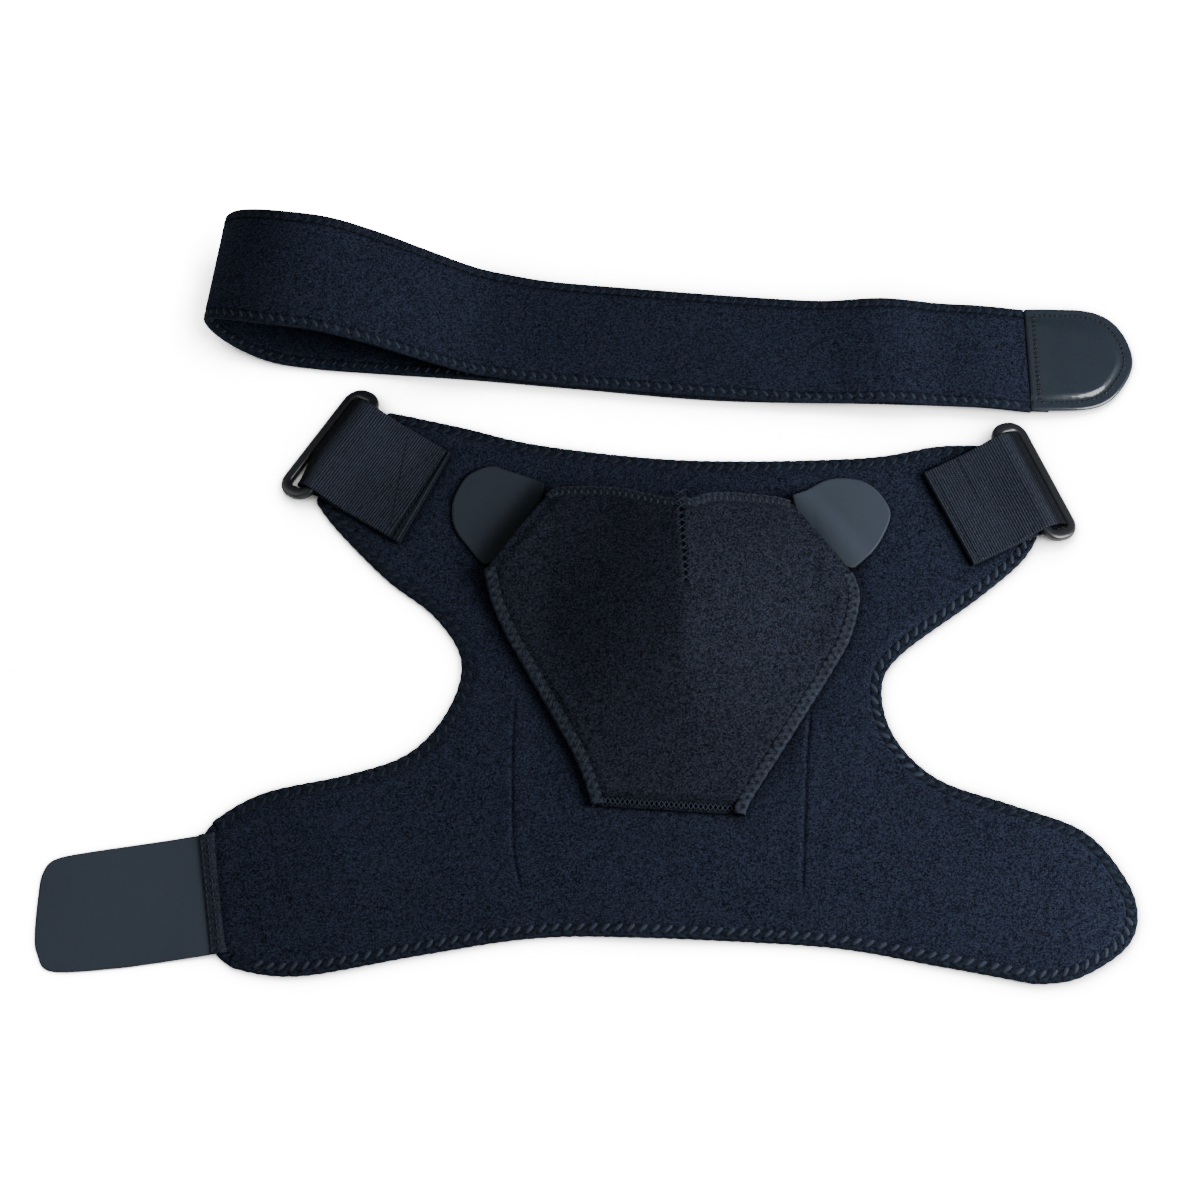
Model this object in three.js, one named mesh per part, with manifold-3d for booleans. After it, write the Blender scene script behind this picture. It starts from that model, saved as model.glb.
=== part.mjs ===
// Shoulder brace lying flat: a neoprene wrap with a domed cap sewn on it, a slot ring on webbing
// at each shoulder end, a hook tab for the arm, and a separate chest strap folded double behind it.
// Millimetres, +Z up. Positions are taken from the middle of the wrap: +X to its right arm,
// +Y to its collar. The finished group is moved so that its footprint is centred on the origin.
import * as THREE from "three";
import Module from "manifold-3d";

const wasm = await Module();
wasm.setup();

// Sheet goods
const neoprene = 4;
const capNeoprene = 3.8;
const strapNeoprene = 3.2;
const hookSheet = 1.2;
const armHookSheet = 1.5;
const webbingSheet = 1.1;
const tape = 0.6;
const tapeFold = 6;
const tapeRound = 1;
const strapTapeFold = 5;
const stitchGap = 0.35;

// Wrap
const wrapLength = 446;
const wrapDepth = 308;
const outlineStep = 17;
const wrapCell = 27;

// Cap
const capShare = 0.42152;
const capWidth = wrapLength * capShare;
const capHeight = 172;
const capMiddle = new THREE.Vector2(4, 15);
const capDome = 13;
const domeTop = 0.2;
const domeFall = 0.3;
const domeFullness = 1.4;
const domeFoot = 0.25;
const domeSpread = 0.27;
const dartAlong = 0.05;
const dartStart = 0.04;
const dartEase = 0.24;
const dartReach = 44;
const capPinch = 5;
const capCornerRise = 7;
const capCornerReach = 54;
const capCell = 12;
const capRimGap = 0.45;
const tabTuck = 4;
const tabCell = 7;
const tabSlack = 0.15;
const tuckCorner = 0.18;

// Slot rings and their webbing
const ringLength = 71.5;
const ringWidth = 20.5;
const ringBarWide = 5.2;
const ringBarThick = 4.2;
const ringEndBar = 6.2;
const ringCorner = 6;
const ringSides = 8;
const hingeHeight = 6.6;
const webbingWidth = 56.5;
const leftReach = 51.5;
const rightReach = 42.5;
const leftSkew = 0.12;
const rightSkew = 0.02;
const leftDrift = 0;
const rightDrift = 3.5;
const loopPlay = 0.4;
const loopGrip = 30;
const webbingLiftOff = 1.6;
const coverBend = 7;
const coverDip = 0.6;
const coverLanding = 13;
const leftNose = { near: 0.7, far: 1 };
const rightNose = { near: 1, far: 1 };
const leftHingeAt = { along: -0.3673, across: 0.4156 };
const rightHingeAt = { along: 0.4072, across: 0.35 };
const leftOutward = THREE.MathUtils.degToRad(147.4);
const rightOutward = THREE.MathUtils.degToRad(22.3);

// Arm tab
const armTabLength = 76;
const armStripInside = 6;
const armStripOutside = 4;
const armTapeStart = 8;
const armStripStep = 0.3;
const armStripSlope = 0.9;
const armTabStep = 9;

// Chest strap
const strapSpan = 484;
const strapWidth = 61;
const loopHeight = 56;
const strapStandOff = 47;
const strapMiddle = new THREE.Vector2(4, wrapDepth / 2 + strapStandOff);
const strapTabLength = 55;
const strapTabSheet = 1.8;
const strapTabRest = 1.2;
const strapTabStep = 7;
const strapTabCell = 9;
const strapTapeDepth = 0.1;
const tongueLength = 10;
const tongueSlope = 0.08;
const framesPerRow = 2;

const { cos, sin, PI, abs, hypot, round, max, min } = Math;
const clamp = THREE.MathUtils.clamp;

// Outline of the wrap in shares of its length and depth, clockwise from the left ring.
const collarEdge = [
  { along: -0.318, across: 0.494 },
  { along: -0.231, across: 0.464 },
  { along: -0.135, across: 0.429 },
  { along: 0.031, across: 0.402 },
  { along: 0.226, across: 0.406 },
  { along: 0.314, across: 0.428 },
  { along: 0.369, across: 0.43 },
];
const rightEdge = [
  { along: 0.425, across: 0.262 },
  { along: 0.403, across: 0.214 },
  { along: 0.35, across: 0.147 },
  { along: 0.261, across: 0.048 },
  { along: 0.239, across: -0.013 },
  { along: 0.251, across: -0.095 },
  { along: 0.296, across: -0.165 },
  { along: 0.377, across: -0.21 },
  { along: 0.449, across: -0.253 },
  { along: 0.489, across: -0.329 },
  { along: 0.499, across: -0.392 },
  { along: 0.482, across: -0.444 },
  { along: 0.43, across: -0.49 },
  { along: 0.385, across: -0.499 },
];
const lowerEdge = [
  { along: 0.385, across: -0.499 },
  { along: 0.285, across: -0.47 },
  { along: 0.165, across: -0.439 },
  { along: -0.028, across: -0.425 },
  { along: -0.141, across: -0.425 },
  { along: -0.261, across: -0.452 },
  { along: -0.386, across: -0.485 },
  { along: -0.454, across: -0.474 },
  { along: -0.479, across: -0.451 },
];
const leftEdge = [
  { along: -0.5, across: -0.257 },
  { along: -0.486, across: -0.231 },
  { along: -0.435, across: -0.187 },
  { along: -0.344, across: -0.156 },
  { along: -0.279, across: -0.119 },
  { along: -0.238, across: -0.044 },
  { along: -0.226, across: 0.04 },
  { along: -0.257, across: 0.117 },
  { along: -0.312, across: 0.183 },
  { along: -0.371, across: 0.275 },
  { along: -0.397, across: 0.328 },
];

// Soft swells of the wrap: middle in shares of its length and depth, reach in shares of its
// length, rise in shares of the neoprene's thickness.
const wrapSwells = [
  { along: -0.37, across: -0.33, reach: 0.139, rise: 0.4 },
  { along: 0.39, across: -0.36, reach: 0.175, rise: 0.55 },
  { along: -0.02, across: -0.43, reach: 0.126, rise: 0.3 },
];

// The cap's two upper corners, held up by the tabs sewn to them, in shares of its width and height.
const capCorners = [
  { along: -0.42, across: 0.367 },
  { along: 0.4, across: 0.346 },
];

// Outline of the cap in shares of its width and height, clockwise from the left corner.
const capTopEdge = [
  { along: -0.34, across: 0.483 },
  { along: -0.315, across: 0.512 },
  { along: -0.245, across: 0.515 },
  { along: -0.149, across: 0.5 },
  { along: -0.069, across: 0.474 },
  { along: -0.005, across: 0.453 },
  { along: 0.048, across: 0.452 },
  { along: 0.085, across: 0.468 },
  { along: 0.149, across: 0.478 },
  { along: 0.266, across: 0.47 },
  { along: 0.319, across: 0.453 },
];
const capRightEdge = [
  { along: 0.479, across: 0.238 },
  { along: 0.496, across: 0.169 },
  { along: 0.473, across: 0.058 },
  { along: 0.431, across: -0.035 },
  { along: 0.303, across: -0.267 },
  { along: 0.197, across: -0.453 },
  { along: 0.181, across: -0.5 },
];
const capLeftEdge = [
  { along: -0.213, across: -0.471 },
  { along: -0.234, across: -0.395 },
  { along: -0.271, across: -0.297 },
  { along: -0.388, across: -0.058 },
  { along: -0.436, across: 0.041 },
  { along: -0.479, across: 0.151 },
  { along: -0.5, across: 0.25 },
];

// Round ends of the two cap tabs, in shares of the cap's width and height, from root to root.
const leftTabRound = [
  { along: -0.5, across: 0.273 },
  { along: -0.537, across: 0.326 },
  { along: -0.58, across: 0.395 },
  { along: -0.59, across: 0.465 },
  { along: -0.58, across: 0.517 },
  { along: -0.553, across: 0.57 },
  { along: -0.521, across: 0.593 },
  { along: -0.484, across: 0.605 },
  { along: -0.436, across: 0.587 },
  { along: -0.378, across: 0.564 },
  { along: -0.34, across: 0.535 },
];
const rightTabRound = [
  { along: 0.324, across: 0.483 },
  { along: 0.367, across: 0.523 },
  { along: 0.42, across: 0.558 },
  { along: 0.479, across: 0.564 },
  { along: 0.532, across: 0.547 },
  { along: 0.569, across: 0.506 },
  { along: 0.59, across: 0.448 },
  { along: 0.574, across: 0.39 },
  { along: 0.543, across: 0.331 },
  { along: 0.484, across: 0.256 },
];
// Where each cap tab leaves the wrap and starts to climb to the cap's edge.
const leftTabFold = [
  { along: -0.383, across: 0.564 },
  { along: -0.511, across: 0.337 },
];
const rightTabFold = [
  { along: 0.4, across: 0.52 },
  { along: 0.56, across: 0.31 },
];

// Nose of the slack webbing loop, from under the hinge bar round to over it: distance out in
// shares of the ring's clear reach, height in shares of the loop's radius at the bar.
const loopNose = [
  { out: 0, up: -1 },
  { out: 0.4, up: -1.1 },
  { out: 0.75, up: -1.1 },
  { out: 0.9, up: -0.9 },
  { out: 0.87, up: -0.45 },
  { out: 0.67, up: 0.25 },
  { out: 0.4, up: 0.73 },
  { out: 0.16, up: 0.97 },
  { out: 0, up: 1 },
];

// Outline of the arm tab past the joint, in shares of its length and of the wrap's depth.
const armTabRound = [
  { along: -0.66, across: -0.282 },
  { along: -0.91, across: -0.295 },
  { along: -0.985, across: -0.318 },
  { along: -1, across: -0.354 },
  { along: -1, across: -0.416 },
  { along: -0.975, across: -0.448 },
  { along: -0.87, across: -0.477 },
  { along: -0.44, across: -0.471 },
];

// Run of the chest strap, from its hook tab over the loop to its hidden end: position along and
// across in shares of its span, height of its middle layer in shares of the loop's height, and in
// degrees how far the back edge is drawn along the strap (slant) and lifted (tilt).
const strapRun = [
  { along: 0.384, across: -0.04, height: 0.062, slant: 0, tilt: 0 },
  { along: 0.339, across: -0.037, height: 0.097, slant: 0, tilt: 0 },
  { along: 0.293, across: -0.034, height: 0.097, slant: 0, tilt: 0 },
  { along: 0.231, across: -0.032, height: 0.155, slant: 0, tilt: 1 },
  { along: 0.169, across: -0.031, height: 0.099, slant: 0, tilt: 0 },
  { along: 0.112, across: -0.028, height: 0.096, slant: 1, tilt: 0 },
  { along: -0.033, across: -0.016, height: 0.096, slant: 4, tilt: 0 },
  { along: -0.136, across: -0.006, height: 0.1, slant: 4, tilt: 0 },
  { along: -0.178, across: -0.001, height: 0.13, slant: 3, tilt: 2 },
  { along: -0.211, across: 0.002, height: 0.19, slant: 3, tilt: 4 },
  { along: -0.264, across: 0.006, height: 0.42, slant: 3, tilt: 8 },
  { along: -0.316, across: 0.01, height: 0.66, slant: 4, tilt: 11 },
  { along: -0.368, across: 0.014, height: 0.84, slant: 6, tilt: 13 },
  { along: -0.413, across: 0.019, height: 0.87, slant: 7, tilt: 13 },
  { along: -0.453, across: 0.031, height: 0.76, slant: 8, tilt: 11 },
  { along: -0.477, across: 0.043, height: 0.58, slant: 8, tilt: 7 },
  { along: -0.486, across: 0.049, height: 0.4, slant: 8, tilt: 3 },
  { along: -0.478, across: 0.045, height: 0.23, slant: 8, tilt: 0 },
  { along: -0.454, across: 0.034, height: 0.115, slant: 8, tilt: 0 },
  { along: -0.42, across: 0.022, height: 0.054, slant: 7, tilt: 0 },
  { along: -0.374, across: 0.015, height: 0.032, slant: 5, tilt: 0 },
  { along: -0.304, across: 0.009, height: 0.0292, slant: 4, tilt: 0 },
  { along: -0.211, across: 0.002, height: 0.0292, slant: 4, tilt: 0 },
  { along: -0.099, across: -0.009, height: 0.0292, slant: 4, tilt: 0 },
  { along: 0.054, across: -0.0235, height: 0.0292, slant: 3, tilt: 0 },
  { along: 0.219, across: -0.0275, height: 0.0292, slant: 1, tilt: 0 },
  { along: 0.331, across: -0.0313, height: 0.0292, slant: 0, tilt: 0 },
];

// Outline of the strap's hook tab in shares of its length and of half the strap's width.
const strapTabRound = [
  { along: 0, across: 1 },
  { along: 0.3, across: 1.01 },
  { along: 0.6, across: 1 },
  { along: 0.8, across: 0.86 },
  { along: 0.93, across: 0.58 },
  { along: 1, across: 0.2 },
  { along: 0.99, across: -0.14 },
  { along: 0.87, across: -0.54 },
  { along: 0.71, across: -0.82 },
  { along: 0.47, across: -0.96 },
  { along: 0, across: -1 },
];

// A smooth run through the rows of a table, as points a step apart.
function smoothRun(rows, length, depth, middle, step) {
  const curve = new THREE.SplineCurve(
    rows.map((row) => new THREE.Vector2(row.along * length, row.across * depth).add(middle)),
  );
  return curve.getSpacedPoints(round(curve.getLength() / step));
}

// Points along a straight line a step apart, without its two ends.
function between(start, end, step) {
  const count = max(1, round(start.distanceTo(end) / step));
  return Array.from({ length: count - 1 }, (_, i) => start.clone().lerp(end, (i + 1) / count));
}

// Directions from each point of a clockwise run to its inside, stretched so that both
// neighbouring edges move by the same distance.
function inwardSteps(points, closed) {
  const last = points.length - 1;
  return points.map((point, i) => {
    const before = closed || i > 0 ? points[i === 0 ? last : i - 1] : null;
    const after = closed || i < last ? points[i === last ? 0 : i + 1] : null;
    const arriving = before ? point.clone().sub(before).normalize() : null;
    const leaving = after ? after.clone().sub(point).normalize() : null;
    const first = arriving ?? leaving;
    const second = leaving ?? arriving;
    const heading = first.clone().add(second).normalize();
    const spread = max(0.5, heading.dot(first));
    return new THREE.Vector2(heading.y, -heading.x).divideScalar(spread);
  });
}

function inset(points, distance) {
  const steps = inwardSteps(points, true);
  return points.map((point, i) => point.clone().addScaledVector(steps[i], distance));
}

// A manifold-3d solid from a three.js geometry.
function solid(geometry) {
  const flat = geometry.index ? geometry.toNonIndexed() : geometry;
  const positions = flat.getAttribute("position");
  const keys = new Map();
  const corners = [];
  const triVerts = new Uint32Array(positions.count);
  for (let i = 0; i < positions.count; i++) {
    const corner = [positions.getX(i), positions.getY(i), positions.getZ(i)];
    const key = corner.map((value) => round(value * 1e4)).join(" ");
    if (!keys.has(key)) {
      keys.set(key, keys.size);
      corners.push(...corner);
    }
    triVerts[i] = keys.get(key);
  }
  const vertProperties = new Float32Array(corners);
  return new wasm.Manifold(new wasm.Mesh({ numProp: 3, vertProperties, triVerts }));
}

// A three.js geometry from a manifold-3d solid.
function geometryOf(body) {
  const mesh = body.getMesh();
  const positions = new Float32Array(mesh.numVert * 3);
  for (let i = 0; i < mesh.numVert; i++) {
    const start = i * mesh.numProp;
    positions.set(mesh.vertProperties.subarray(start, start + 3), i * 3);
  }
  const geometry = new THREE.BufferGeometry();
  geometry.setAttribute("position", new THREE.BufferAttribute(positions, 3));
  geometry.setIndex(new THREE.BufferAttribute(new Uint32Array(mesh.triVerts), 1));
  return geometry;
}

// An upright prism over a plan outline.
function prism(points, low, high) {
  const shape = new THREE.Shape(points);
  const geometry = new THREE.ExtrudeGeometry(shape, { depth: high - low, bevelEnabled: false });
  return geometry.translate(0, 0, low);
}

// A sheet cut to a plan outline, its two faces raised by lift(x, y).
function cutSheet(points, low, high, cell, lift) {
  const bounds = new THREE.Box2().setFromPoints(points).expandByScalar(cell / 2);
  const size = bounds.getSize(new THREE.Vector2());
  const middle = bounds.getCenter(new THREE.Vector2());
  const columns = round(size.x / cell);
  const rows = round(size.y / cell);
  const box = new THREE.BoxGeometry(size.x, size.y, high - low, columns, rows, 1);
  box.translate(middle.x, middle.y, (low + high) / 2);
  const positions = box.getAttribute("position");
  let top = high;
  for (let i = 0; i < positions.count; i++) {
    const raised = positions.getZ(i) + lift(positions.getX(i), positions.getY(i));
    positions.setZ(i, raised);
    top = max(top, raised);
  }
  return solid(box).intersect(solid(prism(points, low - cell, top + cell)));
}

// A neoprene panel: full thickness inside, and a thinner rim all round that its edge tape grips.
function boundPanel(outline, thickness, gap, cell, lift) {
  const middle = inset(outline, tapeFold + gap);
  const rim = inset(outline, tape + gap);
  const rimHigh = thickness - 2 * tape - gap;
  const rimSheet = cutSheet(rim, tape + gap, rimHigh, cell, lift);
  return geometryOf(cutSheet(middle, 0, thickness, cell, lift).add(rimSheet));
}

// A body swept over frames, each a point with a side and an up direction; the section lists
// distances to the side and up.
function swept(frames, section, closed) {
  const count = section.length;
  const listed = section.map(([side, up]) => new THREE.Vector2(side, up));
  const flat = THREE.ShapeUtils.isClockWise(listed) ? listed.reverse() : listed;
  const positions = [];
  for (const frame of frames) {
    for (const { x: side, y: up } of flat) {
      const corner = frame.point.clone();
      corner.addScaledVector(frame.side, side);
      corner.addScaledVector(frame.up, up);
      if (frame.lift) corner.z += frame.lift(corner.x, corner.y);
      positions.push(corner.x, corner.y, corner.z);
    }
  }
  const faces = [];
  const rings = closed ? frames.length : frames.length - 1;
  for (let i = 0; i < rings; i++) {
    const here = i * count;
    const next = ((i + 1) % frames.length) * count;
    for (let j = 0; j < count; j++) {
      const k = (j + 1) % count;
      faces.push(here + j, here + k, next + k);
      faces.push(here + j, next + k, next + j);
    }
  }
  if (!closed) {
    const end = (frames.length - 1) * count;
    for (const [a, b, c] of THREE.ShapeUtils.triangulateShape(flat, [])) {
      faces.push(c, b, a);
      faces.push(end + a, end + b, end + c);
    }
  }
  const geometry = new THREE.BufferGeometry();
  geometry.setAttribute("position", new THREE.Float32BufferAttribute(positions, 3));
  geometry.setIndex(faces);
  return outward(geometry);
}

// The same faces, turned over if they enclose a negative volume.
function outward(geometry) {
  const positions = geometry.getAttribute("position");
  const faces = geometry.index.array;
  const corners = [new THREE.Vector3(), new THREE.Vector3(), new THREE.Vector3()];
  let volume = 0;
  for (let i = 0; i < faces.length; i += 3) {
    corners.forEach((corner, j) => corner.fromBufferAttribute(positions, faces[i + j]));
    volume += corners[0].dot(corners[1].cross(corners[2]));
  }
  if (volume < 0) geometry.setIndex(Array.from(faces).reverse());
  return geometry;
}

// Edge tape folded round a run of a panel's outline.
function edgeTape(run, thickness, closed, lift) {
  const high = thickness - tape;
  const section = [
    [tapeFold, 0],
    [0, 0],
    [0, high - tapeRound],
    [tapeRound, high],
    [tapeFold, high],
    [tapeFold, high - tape],
    [tape, high - tape],
    [tape, tape],
    [tapeFold, tape],
  ];
  const steps = inwardSteps(run, closed);
  const frames = run.map((point, i) => ({
    point: new THREE.Vector3(point.x, point.y, 0),
    side: new THREE.Vector3(steps[i].x, steps[i].y, 0),
    up: new THREE.Vector3(0, 0, 1),
    lift,
  }));
  return swept(frames, section, closed);
}

// Height of a round swell: full at its middle, nothing past its reach.
function swell(x, y, middle, reach, rise) {
  const share = min(1, hypot(x - middle.x, y - middle.y) / reach);
  return (rise * (1 + cos(PI * share))) / 2;
}

function easedStep(share) {
  const t = clamp(share, 0, 1);
  return t * t * (3 - 2 * t);
}

const origin = new THREE.Vector2();
const wrapRun = (rows) => smoothRun(rows, wrapLength, wrapDepth, origin, outlineStep);
const capRun = (rows) => smoothRun(rows, capWidth, capHeight, capMiddle, outlineStep * 0.7);

function wrapLift(x, y) {
  return wrapSwells.reduce((height, row) => {
    const middle = new THREE.Vector2(row.along * wrapLength, row.across * wrapDepth);
    return height + swell(x, y, middle, row.reach * wrapLength, row.rise * neoprene);
  }, 0);
}

// The cap's underside: a dome over the wrap, pinched along its centre dart, with both upper
// corners held up by the tabs sewn to them.
function onCap(row) {
  return new THREE.Vector2(row.along * capWidth, row.across * capHeight).add(capMiddle);
}

function capLift(x, y) {
  const along = (x - capMiddle.x) / capWidth - dartAlong;
  const across = (y - capMiddle.y) / capHeight;
  const up = clamp((across + 0.5) / (domeTop + 0.5), 0, 1);
  const spread = domeFoot + domeSpread * up;
  const aside = min(1, abs(along) / spread);
  const fall = 1 - domeFall * easedStep((across - domeTop) / (0.5 - domeTop));
  const dome = capDome * sin((PI / 2) * up) ** domeFullness * fall * (1 - aside ** 2) ** 2;
  const nearDart = (1 + cos(PI * min(1, abs(along * capWidth) / dartReach))) / 2;
  const pinch = capPinch * nearDart * easedStep((across - dartStart) / dartEase);
  const corners = capCorners.reduce(
    (height, row) => height + swell(x, y, onCap(row), capCornerReach, capCornerRise),
    0,
  );
  return neoprene + stitchGap + dome + pinch + corners;
}

// A cap tab: flat on the wrap, then climbing from its fold to the cap's rim, where it is tucked in.
function capTab(round, fold, root) {
  const rounded = smoothRun(round, capWidth, capHeight, capMiddle, tabCell);
  const inside = root[1].clone().sub(root[0]).normalize();
  const tuck = new THREE.Vector2(inside.y, -inside.x).multiplyScalar(tabTuck);
  const outline = [
    ...rounded,
    root[1].clone().lerp(root[0], tuckCorner).add(tuck),
    root[1].clone().lerp(root[0], 1 - tuckCorner).add(tuck),
  ];
  const [foldStart, foldEnd] = fold.map(onCap);
  const heading = foldEnd.clone().sub(foldStart).normalize();
  const climb = tuck.clone().normalize();
  const reach = root[0].clone().add(root[1]).divideScalar(2).sub(foldStart).dot(climb);
  const rest = neoprene + stitchGap;
  const tabLift = (x, y) => {
    const from = new THREE.Vector2(x, y).sub(foldStart);
    const offLine = from.addScaledVector(heading, -from.dot(heading));
    const share = easedStep(offLine.dot(climb) / (reach - 1));
    return rest + share * (capLift(x, y) + tape - tabSlack - hookSheet - rest);
  };
  return geometryOf(cutSheet(outline, 0, hookSheet, tabCell, tabLift));
}

// A slot ring: one bar section carried round a rounded oblong, its hinge bar along the X axis and
// its outer bar on the +Y side, lying flat with the hinge bar's middle at the origin.
function slotRing() {
  const halfLength = (ringLength - ringEndBar) / 2;
  const width = ringWidth - ringBarWide;
  const path = new THREE.Path();
  path.moveTo(-halfLength + ringCorner, 0);
  path.lineTo(halfLength - ringCorner, 0);
  path.absarc(halfLength - ringCorner, ringCorner, ringCorner, -PI / 2, 0, false);
  path.lineTo(halfLength, width - ringCorner);
  path.absarc(halfLength - ringCorner, width - ringCorner, ringCorner, 0, PI / 2, false);
  path.lineTo(-halfLength + ringCorner, width);
  path.absarc(-halfLength + ringCorner, width - ringCorner, ringCorner, PI / 2, PI, false);
  path.lineTo(-halfLength, ringCorner);
  path.absarc(-halfLength + ringCorner, ringCorner, ringCorner, PI, PI * 1.5, false);
  const points = path.getPoints(3).filter((point, i, all) => point.distanceTo(all.at(i - 1)) > 0.01);
  const steps = inwardSteps(points, true);
  const frames = points.map((point, i) => {
    const share = abs(steps[i].y) / steps[i].length();
    const wide = ringEndBar + (ringBarWide - ringEndBar) * share;
    return {
      point: new THREE.Vector3(point.x, point.y, 0),
      side: new THREE.Vector3(steps[i].x, steps[i].y, 0).multiplyScalar(wide / 2),
      up: new THREE.Vector3(0, 0, ringBarThick / 2),
    };
  });
  const section = Array.from({ length: ringSides }, (_, i) => {
    const angle = (2 * PI * (i + 0.5)) / ringSides;
    return [cos(angle), sin(angle)];
  });
  return swept(frames, section, true);
}

// Moves a piece drawn along the X axis, outward side +Y, to a hinge that faces the given way.
function toHinge(geometry, hingeAt, outwardAngle) {
  geometry.rotateZ(outwardAngle - PI / 2);
  return geometry.translate(hingeAt.along * wrapLength, hingeAt.across * wrapDepth, hingeHeight);
}

// How far the ring leans so that its outer bar comes down to the floor.
function ringLean() {
  const drop = hingeHeight - ringBarThick / 2 - stitchGap / 2;
  return Math.asin(drop / (ringWidth - ringBarWide));
}

// The webbing: it lies on the wrap, passes under and round the hinge bar with a slack nose that
// fills most of the ring, and comes back on itself. The nose is drawn in by its shares at the near
// and far edges. The inner end is cut a little askew and drifts a little sideways.
function webbingLoop(reach, skew, drift, nose) {
  const half = webbingSheet / 2;
  const radius = ringBarWide / 2 + loopPlay + half;
  const clearReach = ringWidth - 1.5 * ringBarWide;
  const back = radius + half;
  const low = neoprene + stitchGap + half - hingeHeight;
  const high = low + webbingSheet + stitchGap;
  const grip = THREE.MathUtils.degToRad(loopGrip);
  const middle = [
    [-reach, low],
    [-back - webbingLiftOff, low],
    [-radius * sin(grip), -radius * cos(grip)],
    ...loopNose.map((row) => [row.out * clearReach, row.up * radius]),
    [-radius * sin(grip), radius * cos(grip)],
    [-back - coverBend, (high + radius) / 2 - coverDip],
    [-back - coverLanding, high],
    [-reach, high],
  ].map(([y, z]) => new THREE.Vector2(y, z));
  const steps = inwardSteps(middle, false);
  const outside = middle.map((point, i) => point.clone().addScaledVector(steps[i], half));
  const inside = middle.map((point, i) => point.clone().addScaledVector(steps[i], -half));
  const shape = new THREE.Shape([...outside, ...inside.reverse()]);
  const geometry = new THREE.ExtrudeGeometry(shape, { depth: webbingWidth, bevelEnabled: false });
  geometry.translate(0, 0, -webbingWidth / 2);
  geometry.rotateY(PI / 2);
  geometry.rotateX(PI / 2);
  const positions = geometry.getAttribute("position");
  for (let i = 0; i < positions.count; i++) {
    const y = positions.getY(i);
    const x = positions.getX(i);
    const fullness = nose.near + (nose.far - nose.near) * (x / webbingWidth + 0.5);
    positions.setX(i, x + drift * max(0, -y / reach));
    if (y > 0) positions.setY(i, y * fullness);
    if (y < 1 - reach) positions.setY(i, y + skew * x);
  }
  return geometry;
}

// Arm tab, from the joint at the wrap's left end to its rounded corners.
function armTab(jointTop, jointBottom) {
  const jointMiddle = new THREE.Vector2(-wrapLength / 2, 0);
  const rounded = smoothRun(armTabRound, armTabLength, wrapDepth, jointMiddle, armTabStep);
  const seam = [jointTop, jointBottom].map((point) => new THREE.Vector2(point.x - stitchGap, point.y));
  const outline = [...rounded.reverse(), ...seam];
  return geometryOf(cutSheet(outline, 0, armHookSheet, wrapCell, () => 0));
}

// The tape sewn over the joint: high on the wrap's rim, lower on the arm tab.
function armStrip(jointTop, jointBottom) {
  const rimHigh = neoprene - 2 * tape;
  const onTab = armHookSheet + stitchGap;
  const section = [
    [-armStripOutside, onTab],
    [-armStripStep, onTab],
    [stitchGap, rimHigh],
    [armStripInside, rimHigh],
    [armStripInside, rimHigh + tape],
    [0, rimHigh + tape],
    [-armStripSlope, onTab + tape],
    [-armStripOutside, onTab + tape],
  ];
  const heading = jointTop.clone().sub(jointBottom).normalize();
  const side = new THREE.Vector3(heading.y, -heading.x, 0);
  const up = new THREE.Vector3(0, 0, 1);
  const frames = [jointBottom, jointTop].map((end) => ({
    point: new THREE.Vector3(end.x, end.y, 0),
    side,
    up,
  }));
  return swept(frames, section, false);
}

// Frames along the chest strap: side across the strap, up away from its inner face.
function strapFrames() {
  const centre = new THREE.CatmullRomCurve3(
    strapRun.map((row) => {
      const x = strapMiddle.x + row.along * strapSpan;
      const y = strapMiddle.y + row.across * strapSpan;
      return new THREE.Vector3(x, y, row.height * loopHeight);
    }),
  );
  const turns = new THREE.CatmullRomCurve3(
    strapRun.map((row) => new THREE.Vector3(row.slant, row.tilt, 0)),
  );
  const count = (strapRun.length - 1) * framesPerRow;
  return Array.from({ length: count + 1 }, (_, i) => {
    const share = i / count;
    const turn = turns.getPoint(share).multiplyScalar(THREE.MathUtils.DEG2RAD);
    const side = new THREE.Vector3(sin(turn.x), cos(turn.x), sin(turn.y)).normalize();
    const up = side.clone().cross(centre.getTangent(share)).normalize();
    return { point: centre.getPoint(share), side, up };
  });
}

function mirrored(section) {
  return section.map(([side, up]) => [-side, up]).reverse();
}

function strapBody(frames) {
  const half = strapWidth / 2;
  const body = half - strapTapeFold - stitchGap;
  const rim = half - tape - stitchGap;
  const thick = strapNeoprene / 2;
  const thin = thick - tape - stitchGap;
  const section = [
    [body, -thick],
    [body, -thin],
    [rim, -thin],
    [rim, thin],
    [body, thin],
    [body, thick],
  ];
  const whole = [...section, ...mirrored(section)];
  const start = frames[0];
  const tongueFrames = [-tongueLength, 1].map((distance) => ({
    point: start.point.clone().add(new THREE.Vector3(-distance, 0, distance * tongueSlope)),
    side: start.side,
    up: start.up,
  }));
  const tongue = [
    [-body, -thick],
    [body, -thick],
    [body, 0],
    [-body, 0],
  ];
  const strip = solid(swept(frames, whole, false));
  return geometryOf(strip.add(solid(swept(tongueFrames, tongue, false))));
}

function strapTape(frames, direction) {
  const half = strapWidth / 2;
  const inner = half - strapTapeFold;
  const high = strapNeoprene / 2 - strapTapeDepth;
  const section = [
    [inner, -high],
    [half, -high],
    [half, high],
    [inner, high],
    [inner, high - tape],
    [half - tape, high - tape],
    [half - tape, tape - high],
    [inner, tape - high],
  ];
  return swept(frames, direction > 0 ? section : mirrored(section), false);
}

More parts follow.
